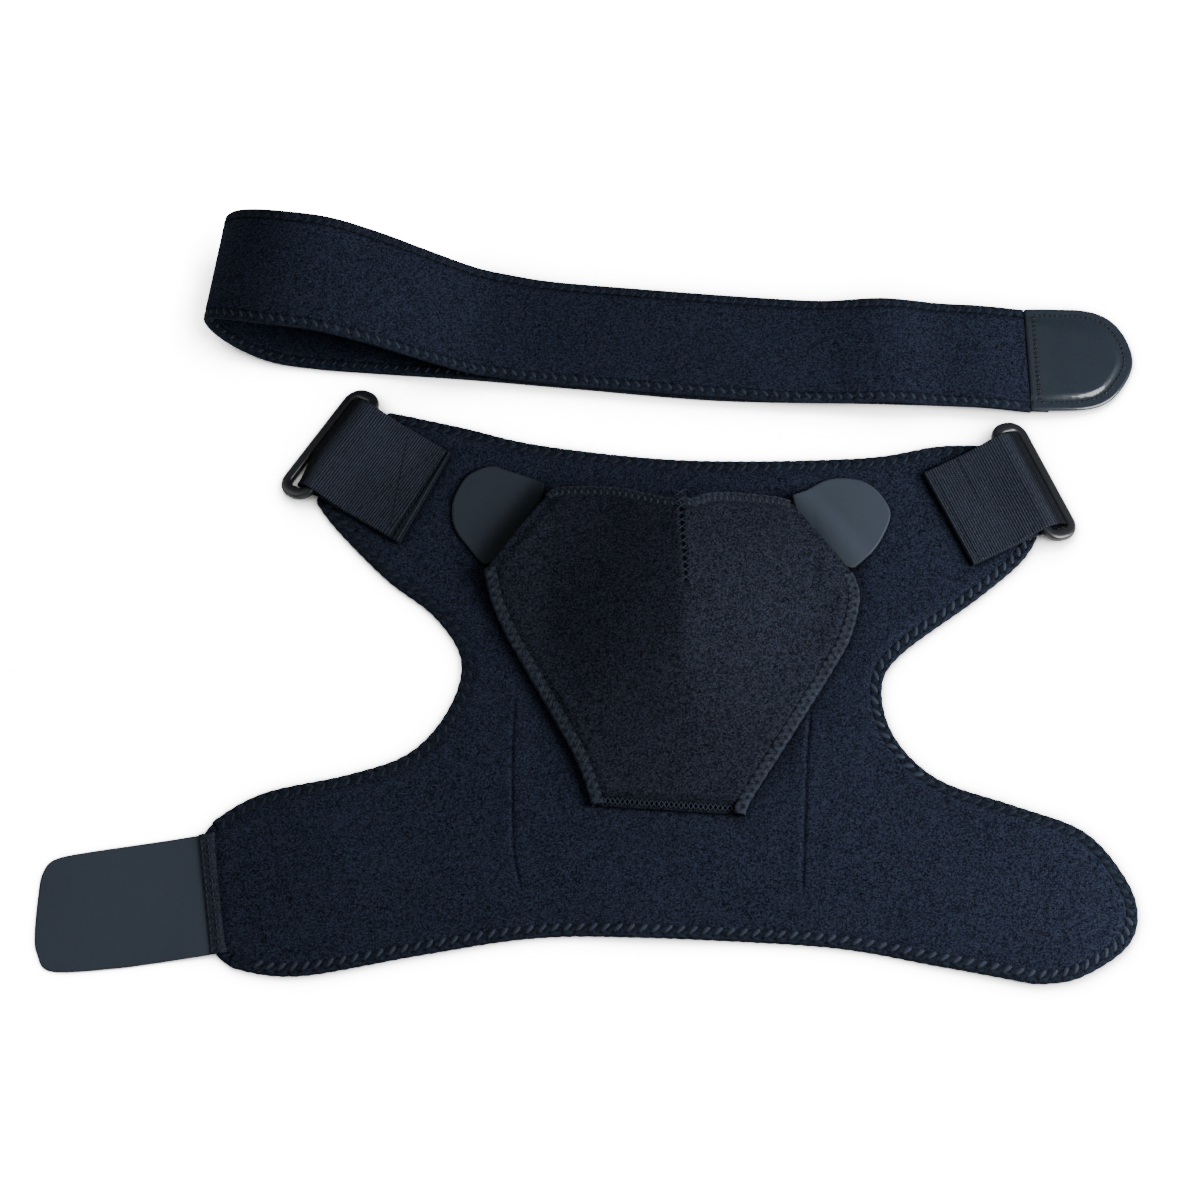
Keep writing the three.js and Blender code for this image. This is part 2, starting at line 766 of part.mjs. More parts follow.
// The strap's hook tab: square where it laps over the strap's tongue, round at its free end,
// drooping from the strap nearly to the floor.
function strapTab(frames) {
  const start = frames[0].point;
  const joint = new THREE.Vector2(start.x + stitchGap, start.y);
  const points = smoothRun(strapTabRound, strapTabLength, strapWidth / 2, joint, strapTabStep);
  const onTongue = start.z + stitchGap;
  const droop = (x) => {
    const share = easedStep((x - start.x) / strapTabLength);
    return onTongue + share * (strapTabRest - onTongue);
  };
  return geometryOf(cutSheet(points, 0, strapTabSheet, strapTabCell, droop));
}

function paint(colour, roughness) {
  return new THREE.MeshStandardMaterial({ color: colour, roughness, metalness: 0 });
}

const brace = new THREE.Group();
brace.name = "shoulder_brace";

function addPiece(name, geometry, material) {
  const mesh = new THREE.Mesh(geometry, material);
  mesh.name = name;
  brace.add(mesh);
}

const loopCloth = () => paint(0x11161e, 0.95);
const edgeCloth = () => paint(0x1a1f27, 0.9);
const hookCloth = () => paint(0x2a3138, 0.6);
const ribbedCloth = () => paint(0x22272f, 0.85);
const ringPlastic = () => paint(0x1a1d21, 0.35);
const glossHook = () => paint(0x20272e, 0.2);

// Wrap
const collar = wrapRun(collarEdge);
const right = wrapRun(rightEdge);
const lower = wrapRun(lowerEdge);
const left = wrapRun(leftEdge);
const jointBottom = lower.at(-1);
const jointTop = left[0];
const rightEnd = between(collar.at(-1), right[0], outlineStep);
const leftEnd = between(left.at(-1), collar[0], outlineStep);
const joint = between(jointBottom, jointTop, outlineStep);
const wrapOutline = [...collar, ...rightEnd, ...right, ...lower.slice(1), ...joint, ...left, ...leftEnd];
addPiece("wrap_panel", boundPanel(wrapOutline, neoprene, stitchGap, wrapCell, wrapLift), loopCloth());

// The tape runs from one side of the arm joint all the way round to the other.
const tapeRun = [...left, ...leftEnd, ...collar, ...rightEnd, ...right, ...lower.slice(1)];
tapeRun[0] = jointTop.clone().lerp(left[1], armTapeStart / outlineStep);
tapeRun[tapeRun.length - 1] = jointBottom.clone().lerp(lower.at(-2), armTapeStart / outlineStep);
addPiece("wrap_binding", edgeTape(tapeRun, neoprene, false, wrapLift), edgeCloth());

// Arm tab
addPiece("arm_tab", armTab(jointTop, jointBottom), hookCloth());
addPiece("arm_tab_strip", armStrip(jointTop, jointBottom), edgeCloth());

// Cap
const capTop = capRun(capTopEdge);
const capRight = capRun(capRightEdge);
const capLeft = capRun(capLeftEdge);
const rightRoot = [capTop.at(-1), capRight[0]];
const leftRoot = [capLeft.at(-1), capTop[0]];
const capBottom = between(capRight.at(-1), capLeft[0], outlineStep);
const capOutline = [
  ...capTop,
  ...between(...rightRoot, outlineStep),
  ...capRight,
  ...capBottom,
  ...capLeft,
  ...between(...leftRoot, outlineStep),
];
addPiece("cap_panel", boundPanel(capOutline, capNeoprene, capRimGap, capCell, capLift), loopCloth());
addPiece("cap_binding_top", edgeTape(capTop, capNeoprene, false, capLift), edgeCloth());
addPiece("cap_binding_right", edgeTape(capRight, capNeoprene, false, capLift), edgeCloth());
addPiece("cap_binding_left", edgeTape(capLeft, capNeoprene, false, capLift), edgeCloth());
addPiece("cap_tab_left", capTab(leftTabRound, leftTabFold, leftRoot), hookCloth());
addPiece("cap_tab_right", capTab(rightTabRound, rightTabFold, rightRoot), hookCloth());

// Slot rings
const leftRing = slotRing().rotateX(-ringLean());
const rightRing = slotRing().rotateX(-ringLean());
addPiece("slot_ring_left", toHinge(leftRing, leftHingeAt, leftOutward), ringPlastic());
addPiece("slot_ring_right", toHinge(rightRing, rightHingeAt, rightOutward), ringPlastic());

// Webbing
const leftLoop = webbingLoop(leftReach, leftSkew, leftDrift, leftNose);
const rightLoop = webbingLoop(rightReach, rightSkew, rightDrift, rightNose);
addPiece("webbing_left", toHinge(leftLoop, leftHingeAt, leftOutward), ribbedCloth());
addPiece("webbing_right", toHinge(rightLoop, rightHingeAt, rightOutward), ribbedCloth());

// Chest strap
const run = strapFrames();
addPiece("chest_strap", strapBody(run), loopCloth());
addPiece("strap_binding_front", strapTape(run, -1), edgeCloth());
addPiece("strap_binding_back", strapTape(run, 1), edgeCloth());
addPiece("strap_tab", strapTab(run), glossHook());

const box = new THREE.Box3().setFromObject(brace);
const centre = box.getCenter(new THREE.Vector3());
brace.position.set(-centre.x, -centre.y, -box.min.z);

export default brace;
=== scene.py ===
from math import asin, cos, pi, radians, sin

import bpy
import numpy as np
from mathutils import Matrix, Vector
from mathutils.geometry import delaunay_2d_cdt


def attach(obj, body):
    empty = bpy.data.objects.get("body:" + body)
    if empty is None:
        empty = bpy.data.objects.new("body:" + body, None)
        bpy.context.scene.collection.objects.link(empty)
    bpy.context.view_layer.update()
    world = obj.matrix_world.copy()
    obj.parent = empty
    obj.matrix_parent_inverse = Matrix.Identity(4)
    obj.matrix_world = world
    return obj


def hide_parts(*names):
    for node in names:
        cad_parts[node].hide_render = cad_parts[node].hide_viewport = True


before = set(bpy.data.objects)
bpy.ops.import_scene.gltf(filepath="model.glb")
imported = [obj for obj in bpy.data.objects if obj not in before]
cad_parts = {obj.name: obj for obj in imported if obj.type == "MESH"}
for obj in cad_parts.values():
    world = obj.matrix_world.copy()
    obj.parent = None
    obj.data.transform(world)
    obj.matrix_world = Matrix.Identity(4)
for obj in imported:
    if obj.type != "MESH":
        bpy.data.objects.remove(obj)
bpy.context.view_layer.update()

# Shoulder brace lying flat on a pale table. Tables and sizes are in millimetres from the middle
# of the wrap, as it was cut; toScene() carries them to metres in the model's frame.
milli = 0.001
wrapMiddle = np.array([26.918, -50.697, 0.0])


def toScene(points):
    return (np.asarray(points, dtype=float) + wrapMiddle) * milli


def bend(start, end, leave, arrive, steps):  # a cubic from start to end, without its last point
    t = np.linspace(0, 1, steps, endpoint=False)[:, None]
    return (start + leave * t + (-3 * start + 3 * end - 2 * leave - arrive) * t ** 2
            + (2 * start - 2 * end + leave + arrive) * t ** 3)


def splineThrough(points, steps=24):  # uniform Catmull-Rom through every point
    points = np.asarray(points, dtype=float)
    padded = np.vstack([points[:1], points, points[-1:]])
    parts = []
    for i in range(len(points) - 1):
        before, start, end, after = padded[i:i + 4]
        parts.append(bend(start, end, (end - before) / 2, (after - start) / 2, steps))
    return np.vstack(parts + [points[-1:]])


def along(points, closed=False):  # running length at each point
    pts = np.vstack([points, points[:1]]) if closed else points
    return np.concatenate([[0], np.cumsum(np.linalg.norm(np.diff(pts, axis=0), axis=1))])


def readAt(at, lengths, values):  # the rows of a run at given lengths along it
    return np.column_stack([np.interp(at, lengths, column) for column in values.T])


def resample(points, step, closed=False):
    lengths = along(points, closed)
    pts = np.vstack([points, points[:1]]) if closed else points
    count = max(2, int(round(lengths[-1] / step)))
    out = readAt(np.linspace(0, lengths[-1], count + 1), lengths, pts)
    return out[:-1] if closed else out


def soften(points, passes):  # rounds the corners of a closed, evenly spaced outline
    for _ in range(passes):
        points = points * 0.5 + (np.roll(points, 1, axis=0) + np.roll(points, -1, axis=0)) * 0.25
    return points


def runFrom(rows, length, depth, middle=(0, 0)):
    return splineThrough(np.array(rows) * (length, depth) + middle)


def inwardOf(points, closed=True):  # left of a clockwise run is out, right is in
    if closed:
        heading = np.roll(points, -1, axis=0) - np.roll(points, 1, axis=0)
    else:
        heading = np.gradient(points, axis=0)
    heading /= np.linalg.norm(heading, axis=1)[:, None]
    return np.column_stack([heading[:, 1], -heading[:, 0]])


def distanceTo(points, line, closed=False):
    ends = np.vstack([line, line[:1]]) if closed else line
    start, step = ends[:-1], np.diff(ends, axis=0)
    size = (step ** 2).sum(axis=1)
    best = np.full(len(points), 1e9)
    for k in range(0, len(points), 2000):
        part = points[k:k + 2000, None, :]
        share = np.clip(((part - start) * step).sum(axis=2) / size, 0, 1)
        gap = np.linalg.norm(part - start - share[..., None] * step, axis=2)
        best[k:k + 2000] = gap.min(axis=1)
    return best


def insideOf(points, outline):
    x, y = points[:, 0], points[:, 1]
    inside = np.zeros(len(points), dtype=bool)
    ends = np.roll(outline, -1, axis=0)
    for (ax, ay), (bx, by) in zip(outline, ends):
        crosses = (ay > y) != (by > y)
        if not crosses.any():
            continue
        inside ^= crosses & (x < (bx - ax) * (y - ay) / (by - ay + 1e-12) + ax)
    return inside


def eased(share):
    t = np.clip(share, 0, 1)
    return t * t * (3 - 2 * t)


def swell(x, y, middle, reach, rise):
    share = np.minimum(1, np.hypot(x - middle[0], y - middle[1]) / reach)
    return rise * (1 + np.cos(pi * share)) / 2


def ripple(x, y, size, seed):  # slow uneven waves, a few crossing sines
    rng = np.random.default_rng(seed)
    total = 0
    for _ in range(6):
        angle, phase, scale = rng.uniform(0, 2 * pi), rng.uniform(0, 2 * pi), rng.uniform(0.6, 1.5)
        total = total + np.sin((x * cos(angle) + y * sin(angle)) * 2 * pi / (size * scale) + phase)
    return total / 6


def placeObject(name, data):
    thing = bpy.data.objects.new(name, data)
    bpy.context.scene.collection.objects.link(thing)
    return thing


def makePiece(name, points, faces, material, uv=None, paintedShade=None):  # the last argument: 0 to 1, painted shade that darkens the colour in hollows, seams and sides turned from the lamp
    mesh = bpy.data.meshes.new(name)
    mesh.from_pydata([tuple(p) for p in toScene(points)], [], [tuple(int(i) for i in f) for f in faces])
    mesh.materials.append(material)
    mesh.polygons.foreach_set("use_smooth", [True] * len(mesh.polygons))
    if uv is not None:
        layer = mesh.uv_layers.new(name="UVMap")
        loops = np.zeros(len(mesh.loops), dtype=np.int32)
        mesh.loops.foreach_get("vertex_index", loops)
        layer.data.foreach_set("uv", np.asarray(uv)[loops].astype(np.float32).ravel())
    if paintedShade is not None:
        paintedShadeLayer = mesh.attributes.new("paintedShade", "FLOAT", "POINT")
        paintedShadeLayer.data.foreach_set("value", np.clip(paintedShade, 0, 1).astype(np.float32).ravel())
    mesh.update()
    return placeObject(name, mesh)


# a flat triangle plan: rings along the edge, a hexagon grid inside, finer rows along sewn lines
def sheetPlan(outline, spacing, lines=(), lineStep=1.4, lineRows=(0, 0.6, 1.3, 2.3)):
    points = [outline]
    for depth in (0.5, 1.1, 2.0, 3.2, 4.6):
        if depth < spacing * 2.2:
            ring = outline + inwardOf(outline) * depth
            points.append(ring[::2] if depth > 1.5 else ring)
    low, high = outline.min(axis=0), outline.max(axis=0)
    rowGap = spacing * 0.866
    grid = []
    for k, y in enumerate(np.arange(low[1], high[1], rowGap)):
        xs = np.arange(low[0] + (k % 2) * spacing / 2, high[0], spacing)
        grid.append(np.column_stack([xs, np.full(len(xs), y)]))
    grid = np.vstack(grid)
    grid = grid[insideOf(grid, outline)]
    grid = grid[distanceTo(grid, outline, True) > min(5.6, spacing * 2.4)]
    for line in lines:
        grid = grid[distanceTo(grid, line) > lineRows[-1] + spacing * 0.6]
    points.append(grid)
    for line in lines:
        fine = resample(line, lineStep)
        side = inwardOf(fine, False)
        for row in lineRows:
            for sign in ((1, -1) if row else (1,)):
                rowPoints = fine + side * row * sign
                keep = insideOf(rowPoints, outline)
                keep &= distanceTo(rowPoints, outline, True) > 0.6
                points.append(rowPoints[keep])
    flat = np.vstack(points)
    count = len(outline)
    ring = list(range(count))
    area = (outline[:, 0] * np.roll(outline[:, 1], -1) - np.roll(outline[:, 0], -1) * outline[:, 1]).sum()
    if area < 0:
        ring.reverse()
    made = delaunay_2d_cdt([Vector(p) for p in flat], [], [ring], 1, 1e-4)
    plan = np.array([tuple(v) for v in made[0]])
    faces = np.array([f for f in made[2] if len(f) == 3])
    a, b, c = plan[faces[:, 0]], plan[faces[:, 1]], plan[faces[:, 2]]
    turned = (b - a)[:, 0] * (c - a)[:, 1] - (b - a)[:, 1] * (c - a)[:, 0] < 0
    faces[turned] = faces[turned][:, ::-1]
    used = np.unique(faces)
    renumber = np.full(len(plan), -1)
    renumber[used] = np.arange(len(used))
    return plan[used], renumber[faces]


def closeSheet(plan, faces, top, bottom):  # top and bottom heights over one flat plan
    count = len(plan)
    points = np.vstack([np.column_stack([plan, top]), np.column_stack([plan, bottom])])
    edges = {}
    for face in faces:
        for i in range(3):
            edges[(face[i], face[(i + 1) % 3])] = True
    rim = [(a, b) for a, b in edges if (b, a) not in edges]
    walls = [(b, a, a + count, b + count) for a, b in rim]
    return points, [*map(tuple, faces), *[(c + count, b + count, a + count) for a, b, c in faces], *walls]


def rounded(depth, radius):  # 0 at the edge, 1 past the radius, as a quarter circle
    t = np.clip(depth / radius, 0, 1)
    return np.sqrt(1 - (1 - t) ** 2)


def sweepRows(rows, closedRun=False):  # rows: (frame, section, xyz)
    frames, count = rows.shape[:2]
    points = rows.reshape(-1, 3)
    faces = []
    last = frames if closedRun else frames - 1
    for i in range(last):
        here, there = i * count, ((i + 1) % frames) * count
        for j in range(count):
            k = (j + 1) % count
            faces.append((here + j, here + k, there + k, there + j))
    if not closedRun:
        faces.append(tuple(range(count))[::-1])
        faces.append(tuple((frames - 1) * count + j for j in range(count)))
    a, b, c = points[[f[0] for f in faces]], points[[f[1] for f in faces]], points[[f[2] for f in faces]]
    if np.einsum("ij,ij->i", a, np.cross(b, c)).sum() < 0:
        faces = [f[::-1] for f in faces]
    return points, faces


def feedAll(tree, node, inputs):  # a number or colour is set, another node's output is linked
    for label, value in inputs.items():
        socket = node.inputs[label]
        if isinstance(value, bpy.types.NodeSocket):
            tree.links.new(value, socket)
        else:
            socket.default_value = (*value, 1) if socket.type == "RGBA" else value


def addNode(tree, kind, inputs=None, **settings):
    node = tree.nodes.new(kind)
    for key, value in settings.items():
        setattr(node, key, value)
    feedAll(tree, node, inputs or {})
    return node


def mathNode(tree, operation, *values):
    return addNode(tree, "ShaderNodeMath", dict(enumerate(values)), operation=operation).outputs[0]


def mixNode(tree, factor, first, second, blend="MIX"):
    inputs = {"Factor": factor, "A": first, "B": second}
    return addNode(tree, "ShaderNodeMix", inputs, data_type="RGBA", blend_type=blend).outputs["Result"]


def noiseNode(tree, vector, scale, detail, roughness):
    inputs = {"Vector": vector, "Scale": scale, "Detail": detail, "Roughness": roughness}
    return addNode(tree, "ShaderNodeTexNoise", inputs).outputs[0]


def nodeGroup(name, inputs, outputs):
    tree = bpy.data.node_groups.new(name, "ShaderNodeTree")
    for label, kind, value in inputs:
        socket = tree.interface.new_socket(label, in_out="INPUT", socket_type="NodeSocket" + kind)
        if value is not None:
            socket.default_value = value
    for label, kind in outputs:
        tree.interface.new_socket(label, in_out="OUTPUT", socket_type="NodeSocket" + kind)
    return tree, tree.nodes.new("NodeGroupInput").outputs, tree.nodes.new("NodeGroupOutput")


def buildGrainGroup():  # loops of a knitted pile: one cell a tuft, fine fibre over it, slow patches
    tree, given, result = nodeGroup(
        "pileGrain",
        [("Tuft Size", "Float", 620.0), ("Fibre Size", "Float", 2400.0), ("Dark", "Color", None),
         ("Light", "Color", None), ("Patch", "Float", 0.25), ("Tuft Contrast", "Float", 0.5)],
        [("Color", "Color"), ("Height", "Float"), ("Mask", "Float")],
    )
    usualTuft, patchSize, warmTint = 0.97, 22.0, (1.2, 0.98, 0.96)
    place = addNode(tree, "ShaderNodeTexCoord").outputs["Object"]
    cell = addNode(tree, "ShaderNodeTexVoronoi", {"Vector": place, "Scale": given["Tuft Size"]}).outputs
    own = addNode(tree, "ShaderNodeSeparateColor", {0: cell["Color"]}).outputs
    fibre = noiseNode(tree, place, given["Fibre Size"], 1.5, 0.55)
    patch = noiseNode(tree, place, patchSize, 2.0, 0.5)
    height = mathNode(tree, "SUBTRACT", 1.0, cell["Distance"])
    height = mathNode(tree, "MULTIPLY_ADD", fibre, 0.6, mathNode(tree, "MULTIPLY", height, 0.6))
    tuft = mathNode(tree, "ADD", mathNode(tree, "MULTIPLY", own[0], 0.5), height)
    uneven = mathNode(tree, "MULTIPLY", mathNode(tree, "SUBTRACT", tuft, usualTuft), given["Tuft Contrast"])
    slow = mathNode(tree, "MULTIPLY", mathNode(tree, "SUBTRACT", patch, 0.5), given["Patch"])
    mask = mathNode(tree, "ADD", mathNode(tree, "ADD", uneven, 0.5), slow)
    colour = mixNode(tree, mask, given["Dark"], given["Light"])
    colour = mixNode(tree, own[1], colour, warmTint, "MULTIPLY")
    feedAll(tree, result, {"Color": colour, "Height": height, "Mask": mask})
    return tree


def buildWeaveGroup():  # ribs of a webbing, each a row of beads shifted by half against the next
    tree, given, result = nodeGroup(
        "ribWeave",
        [("UV", "Vector", None), ("Rib Pitch", "Float", 0.0136), ("Bead Pitch", "Float", 0.011)],
        [("Height", "Float")],
    )
    parts = addNode(tree, "ShaderNodeSeparateXYZ", {0: given["UV"]}).outputs
    ribAt = mathNode(tree, "DIVIDE", parts["Y"], given["Rib Pitch"])
    shift = mathNode(tree, "MULTIPLY", mathNode(tree, "FLOOR", ribAt), 0.5)
    beadAt = mathNode(tree, "ADD", mathNode(tree, "DIVIDE", parts["X"], given["Bead Pitch"]), shift)
    rib, bead = (mathNode(tree, "ABSOLUTE", mathNode(tree, "SINE", mathNode(tree, "MULTIPLY", at, pi)))
                 for at in (ribAt, beadAt))
    height = mathNode(tree, "MULTIPLY", rib, mathNode(tree, "MULTIPLY_ADD", bead, 0.5, 0.5))
    feedAll(tree, result, {"Height": height})
    return tree


def newMaterial(name):
    material = bpy.data.materials.new(name)
    material.use_nodes = True
    return material, material.node_tree, material.node_tree.nodes["Principled BSDF"]


# the near black that painted shade mixes towards, and how far the painted crease shade looks for nearby surfaces
creaseShadeReach, paintedShadeColour, sheenSoftness = 0.022, (0.0001, 0.0001, 0.0002), 0.4


def grainMaterial(name, settings):
    material, tree, shader = newMaterial(name)
    grain = addNode(tree, "ShaderNodeGroup", {
        "Tuft Size": settings["tuftSize"], "Fibre Size": settings["fibreSize"], "Dark": settings["dark"],
        "Light": settings["light"], "Patch": settings["patch"], "Tuft Contrast": settings["contrast"],
    }, node_tree=pileGrain).outputs
    # painted shade: the colour is darkened towards near black by the per-point attribute
    paintedShadeLayer = addNode(tree, "ShaderNodeAttribute", attribute_name="paintedShade").outputs["Fac"]
    colour, height = mixNode(tree, paintedShadeLayer, grain["Color"], paintedShadeColour), grain["Height"]
    # painted shade: ambient occlusion darkens the colour in creases, under rims and between parts
    if "creaseShade" in settings:
        bare = addNode(tree, "ShaderNodeAmbientOcclusion", {"Distance": creaseShadeReach}, samples=4).outputs["AO"]
        colour = mixNode(tree, mathNode(tree, "POWER", bare, settings["creaseShade"]), (0, 0, 0), colour)
    if "weave" in settings:
        ribPitch, beadPitch = settings["weave"]
        place = addNode(tree, "ShaderNodeUVMap").outputs["UV"]
        ribs = addNode(tree, "ShaderNodeGroup", {"Rib Pitch": ribPitch, "Bead Pitch": beadPitch, "UV": place},
                       node_tree=ribWeave).outputs["Height"]
        colour = mixNode(tree, mathNode(tree, "MULTIPLY_ADD", ribs, 0.85, 0.12), settings["dark"], colour)
        height = mathNode(tree, "MULTIPLY_ADD", height, 0.25, ribs)
    rough = addNode(tree, "ShaderNodeMapRange", {"Value": grain["Mask"], "To Min": settings["roughness"][0],
                                                 "To Max": settings["roughness"][1]}).outputs[0]
    bump = addNode(tree, "ShaderNodeBump", {"Strength": settings["bump"], "Distance": settings["bumpDepth"],
                                            "Height": height}).outputs["Normal"]
    feedAll(tree, shader, {
        "Base Color": colour, "Roughness": rough, "Normal": bump, "Specular IOR Level": settings["specular"],
        "Sheen Weight": settings["sheen"], "Sheen Roughness": sheenSoftness, "Sheen Tint": settings["sheenTint"],
        "Coat Weight": settings.get("coat", 0), "Coat Roughness": settings.get("coatRoughness", 0.2),
    })
    return material


pile = dict(fibreSize=2900, patch=0.12, contrast=1.15, roughness=(1.0, 0.8), sheen=0.01, specular=0.05, bump=0.8,
            bumpDepth=0.0003, creaseShade=1.3)
tape = dict(tuftSize=1100, fibreSize=2600, patch=0.15, roughness=(0.95, 0.7), sheen=0.01, sheenTint=(0.6, 0.7, 1.0),
            specular=0.07, bump=0.6, bumpDepth=0.0003, creaseShade=1.3)
yarn = dict(tuftSize=2200, fibreSize=5200, patch=0.3, contrast=0.5, roughness=(0.8, 0.6), sheen=0.01,
            sheenTint=(0.7, 0.8, 1.0), specular=0.1, bump=0.3, bumpDepth=0.0002)
finishes = {
    "loopPile": dict(pile, tuftSize=1500, sheenTint=(0.5, 0.65, 1.0), dark=(0.0016, 0.0025, 0.0048),
                     light=(0.0292, 0.0415, 0.0755)),
    "capPile": dict(pile, tuftSize=1400, sheenTint=(0.6, 0.7, 1.0), dark=(0.0014, 0.0021, 0.0037),
                    light=(0.0300, 0.0400, 0.0635)),
    "edgeTape": dict(tape, contrast=0.8, dark=(0.0014, 0.0020, 0.0036), light=(0.0240, 0.0370, 0.0640)),
    "capTape": dict(tape, contrast=0.7, dark=(0.0044, 0.0062, 0.0096), light=(0.0500, 0.0675, 0.1000)),
    "hookSheet": dict(tuftSize=2600, fibreSize=6000, dark=(0.0330, 0.0470, 0.0640), light=(0.0435, 0.0620, 0.0850),
                      patch=0.4, contrast=0.5, roughness=(0.62, 0.5), sheen=0.01, sheenTint=(0.8, 0.9, 1.0),
                      specular=0.12, bump=0.3, bumpDepth=0.0001, creaseShade=0.7),
    "ringPlastic": dict(tuftSize=900, fibreSize=5200, dark=(0.0075, 0.0092, 0.0125), light=(0.0130, 0.0155, 0.0200),
                        patch=0.6, contrast=0.6, roughness=(0.36, 0.28), sheen=0.0, sheenTint=(1, 1, 1),
                        specular=0.7, bump=0.2, bumpDepth=0.0001),
    "webbing": dict(tuftSize=1700, fibreSize=4200, dark=(0.0034, 0.0050, 0.0084), light=(0.0670, 0.0900, 0.1350),
                    patch=0.3, contrast=0.5, roughness=(0.85, 0.6), sheen=0.01, sheenTint=(0.6, 0.75, 1.0),
                    specular=0.1, bump=1.0, bumpDepth=0.0004, weave=(0.0136, 0.0115), creaseShade=1.2),
    "glossHook": dict(tuftSize=700, fibreSize=3600, dark=(0.0120, 0.0195, 0.0290), light=(0.0190, 0.0300, 0.0430),
                      patch=0.4, contrast=0.5, roughness=(0.42, 0.3), sheen=0.0, sheenTint=(1, 1, 1),
                      specular=0.3, bump=0.25, bumpDepth=0.0001, coat=0.8, coatRoughness=0.13, creaseShade=1.0),
    "tabThread": dict(yarn, dark=(0.0016, 0.0026, 0.0040), light=(0.0070, 0.0100, 0.0140), roughness=(0.5, 0.4),
                      sheen=0.0, sheenTint=(1, 1, 1), specular=0.4),
    "webThread": dict(yarn, dark=(0.0060, 0.0085, 0.0130), light=(0.0270, 0.0370, 0.0550)),
    # the darker copy of the thread, painted shade for stitches on edges turned from the lamp
    "shadedThread": dict(yarn, dark=(0.0040, 0.0065, 0.0110), light=(0.0190, 0.0290, 0.0490)),
    "thread": dict(yarn, dark=(0.0110, 0.0165, 0.0270), light=(0.0370, 0.0525, 0.0830), specular=0.12),
}
pileGrain, ribWeave = buildGrainGroup(), buildWeaveGroup()
materials = {name: grainMaterial(name, values) for name, values in finishes.items()}
print("materials", len(materials))


def buildStitchTree():  # lays one plump thread along every edge of the mesh it is given
    tree = bpy.data.node_groups.new("stitchThreads", "GeometryNodeTree")
    sockets = [tree.interface.new_socket(label, in_out=way, socket_type="NodeSocket" + kind)
               for label, way, kind in (("Geometry", "INPUT", "Geometry"), ("Thread Width", "INPUT", "Float"),
                                        ("Thread Material", "INPUT", "Material"), ("Geometry", "OUTPUT", "Geometry"))]
    given, result = tree.nodes.new("NodeGroupInput").outputs, tree.nodes.new("NodeGroupOutput")
    ends = addNode(tree, "GeometryNodeInputMeshEdgeVertices").outputs
    step = addNode(tree, "ShaderNodeVectorMath", {0: ends["Position 2"], 1: ends["Position 1"]}, operation="SUBTRACT")
    keep = addNode(tree, "GeometryNodeCaptureAttribute", domain="EDGE")
    keep.capture_items.new("VECTOR", "Step")
    feedAll(tree, keep, {"Geometry": given["Geometry"], "Step": step.outputs[0]})
    middles = addNode(tree, "GeometryNodeMeshToPoints", {"Mesh": keep.outputs["Geometry"]}, mode="EDGES")
    length = addNode(tree, "ShaderNodeVectorMath", {0: keep.outputs["Step"]}, operation="LENGTH")
    turn = addNode(tree, "FunctionNodeAlignRotationToVector", {"Vector": keep.outputs["Step"]}, axis="Z")
    width = given["Thread Width"]
    size = addNode(tree, "ShaderNodeCombineXYZ", {"X": width, "Y": width, "Z": length.outputs["Value"]})
    bead = addNode(tree, "GeometryNodeMeshUVSphere", {"Segments": 7, "Rings": 6, "Radius": 0.53})
    smooth = addNode(tree, "GeometryNodeSetShadeSmooth", {"Geometry": bead.outputs["Mesh"]})
    lay = addNode(tree, "GeometryNodeInstanceOnPoints",
                  {"Points": middles.outputs["Points"], "Instance": smooth.outputs["Geometry"],
                   "Rotation": turn.outputs["Rotation"], "Scale": size.outputs["Vector"]})
    real = addNode(tree, "GeometryNodeRealizeInstances", {"Geometry": lay.outputs["Instances"]})
    paint = addNode(tree, "GeometryNodeSetMaterial",
                    {"Geometry": real.outputs["Geometry"], "Material": given["Thread Material"]})
    tree.links.new(paint.outputs["Geometry"], result.inputs["Geometry"])
    return tree, sockets[1].identifier, sockets[2].identifier


stitchTree, threadWidthSocket, threadMaterialSocket = buildStitchTree()


def sewStitches(name, stitches, width, material="thread"):  # stitches: (start, end) pairs in mm
    ends = toScene(np.array(stitches).reshape(-1, 3))
    mesh = bpy.data.meshes.new(name + "Path")
    mesh.from_pydata([tuple(p) for p in ends], [(i, i + 1) for i in range(0, len(ends), 2)], [])
    path = placeObject(name + "Path", mesh)
    modifier = path.modifiers.new("stitches", "NODES")
    modifier.node_group = stitchTree
    modifier[threadWidthSocket] = width * milli
    modifier[threadMaterialSocket] = materials[material]
    bpy.context.view_layer.update()
    ready = path.evaluated_get(bpy.context.evaluated_depsgraph_get())
    made = bpy.data.meshes.new_from_object(ready)
    made.name = name
    bpy.data.objects.remove(path)
    return placeObject(name, made)


def zigzagOver(run, heightAt, half, pitch, skip):  # pairs of thread ends, crossing the run
    lengths = along(run)
    count = int(lengths[-1] / pitch * 2)
    at = np.linspace(skip, lengths[-1] - skip, count + 1)
    points, side = (readAt(at, lengths, values) for values in (run, inwardOf(run, False)))
    side /= np.linalg.norm(side, axis=1)[:, None]
    depth = np.where(np.arange(count + 1) % 2 == 0, half, -half)
    flat = points + side * depth[:, None]
    spots = np.column_stack([flat, heightAt(flat[:, 0], flat[:, 1])])
    return list(zip(spots[:-1], spots[1:]))


def dashesAlong(line, heightAt, stitch, gap):
    lengths = along(line)
    starts = np.arange(gap, lengths[-1] - stitch, stitch + gap)
    ends = []
    for at in (starts, starts + stitch):
        x, y = readAt(at, lengths, line).T
        ends.append(np.column_stack([x, y, heightAt(x, y)]))
    return list(zip(*ends))


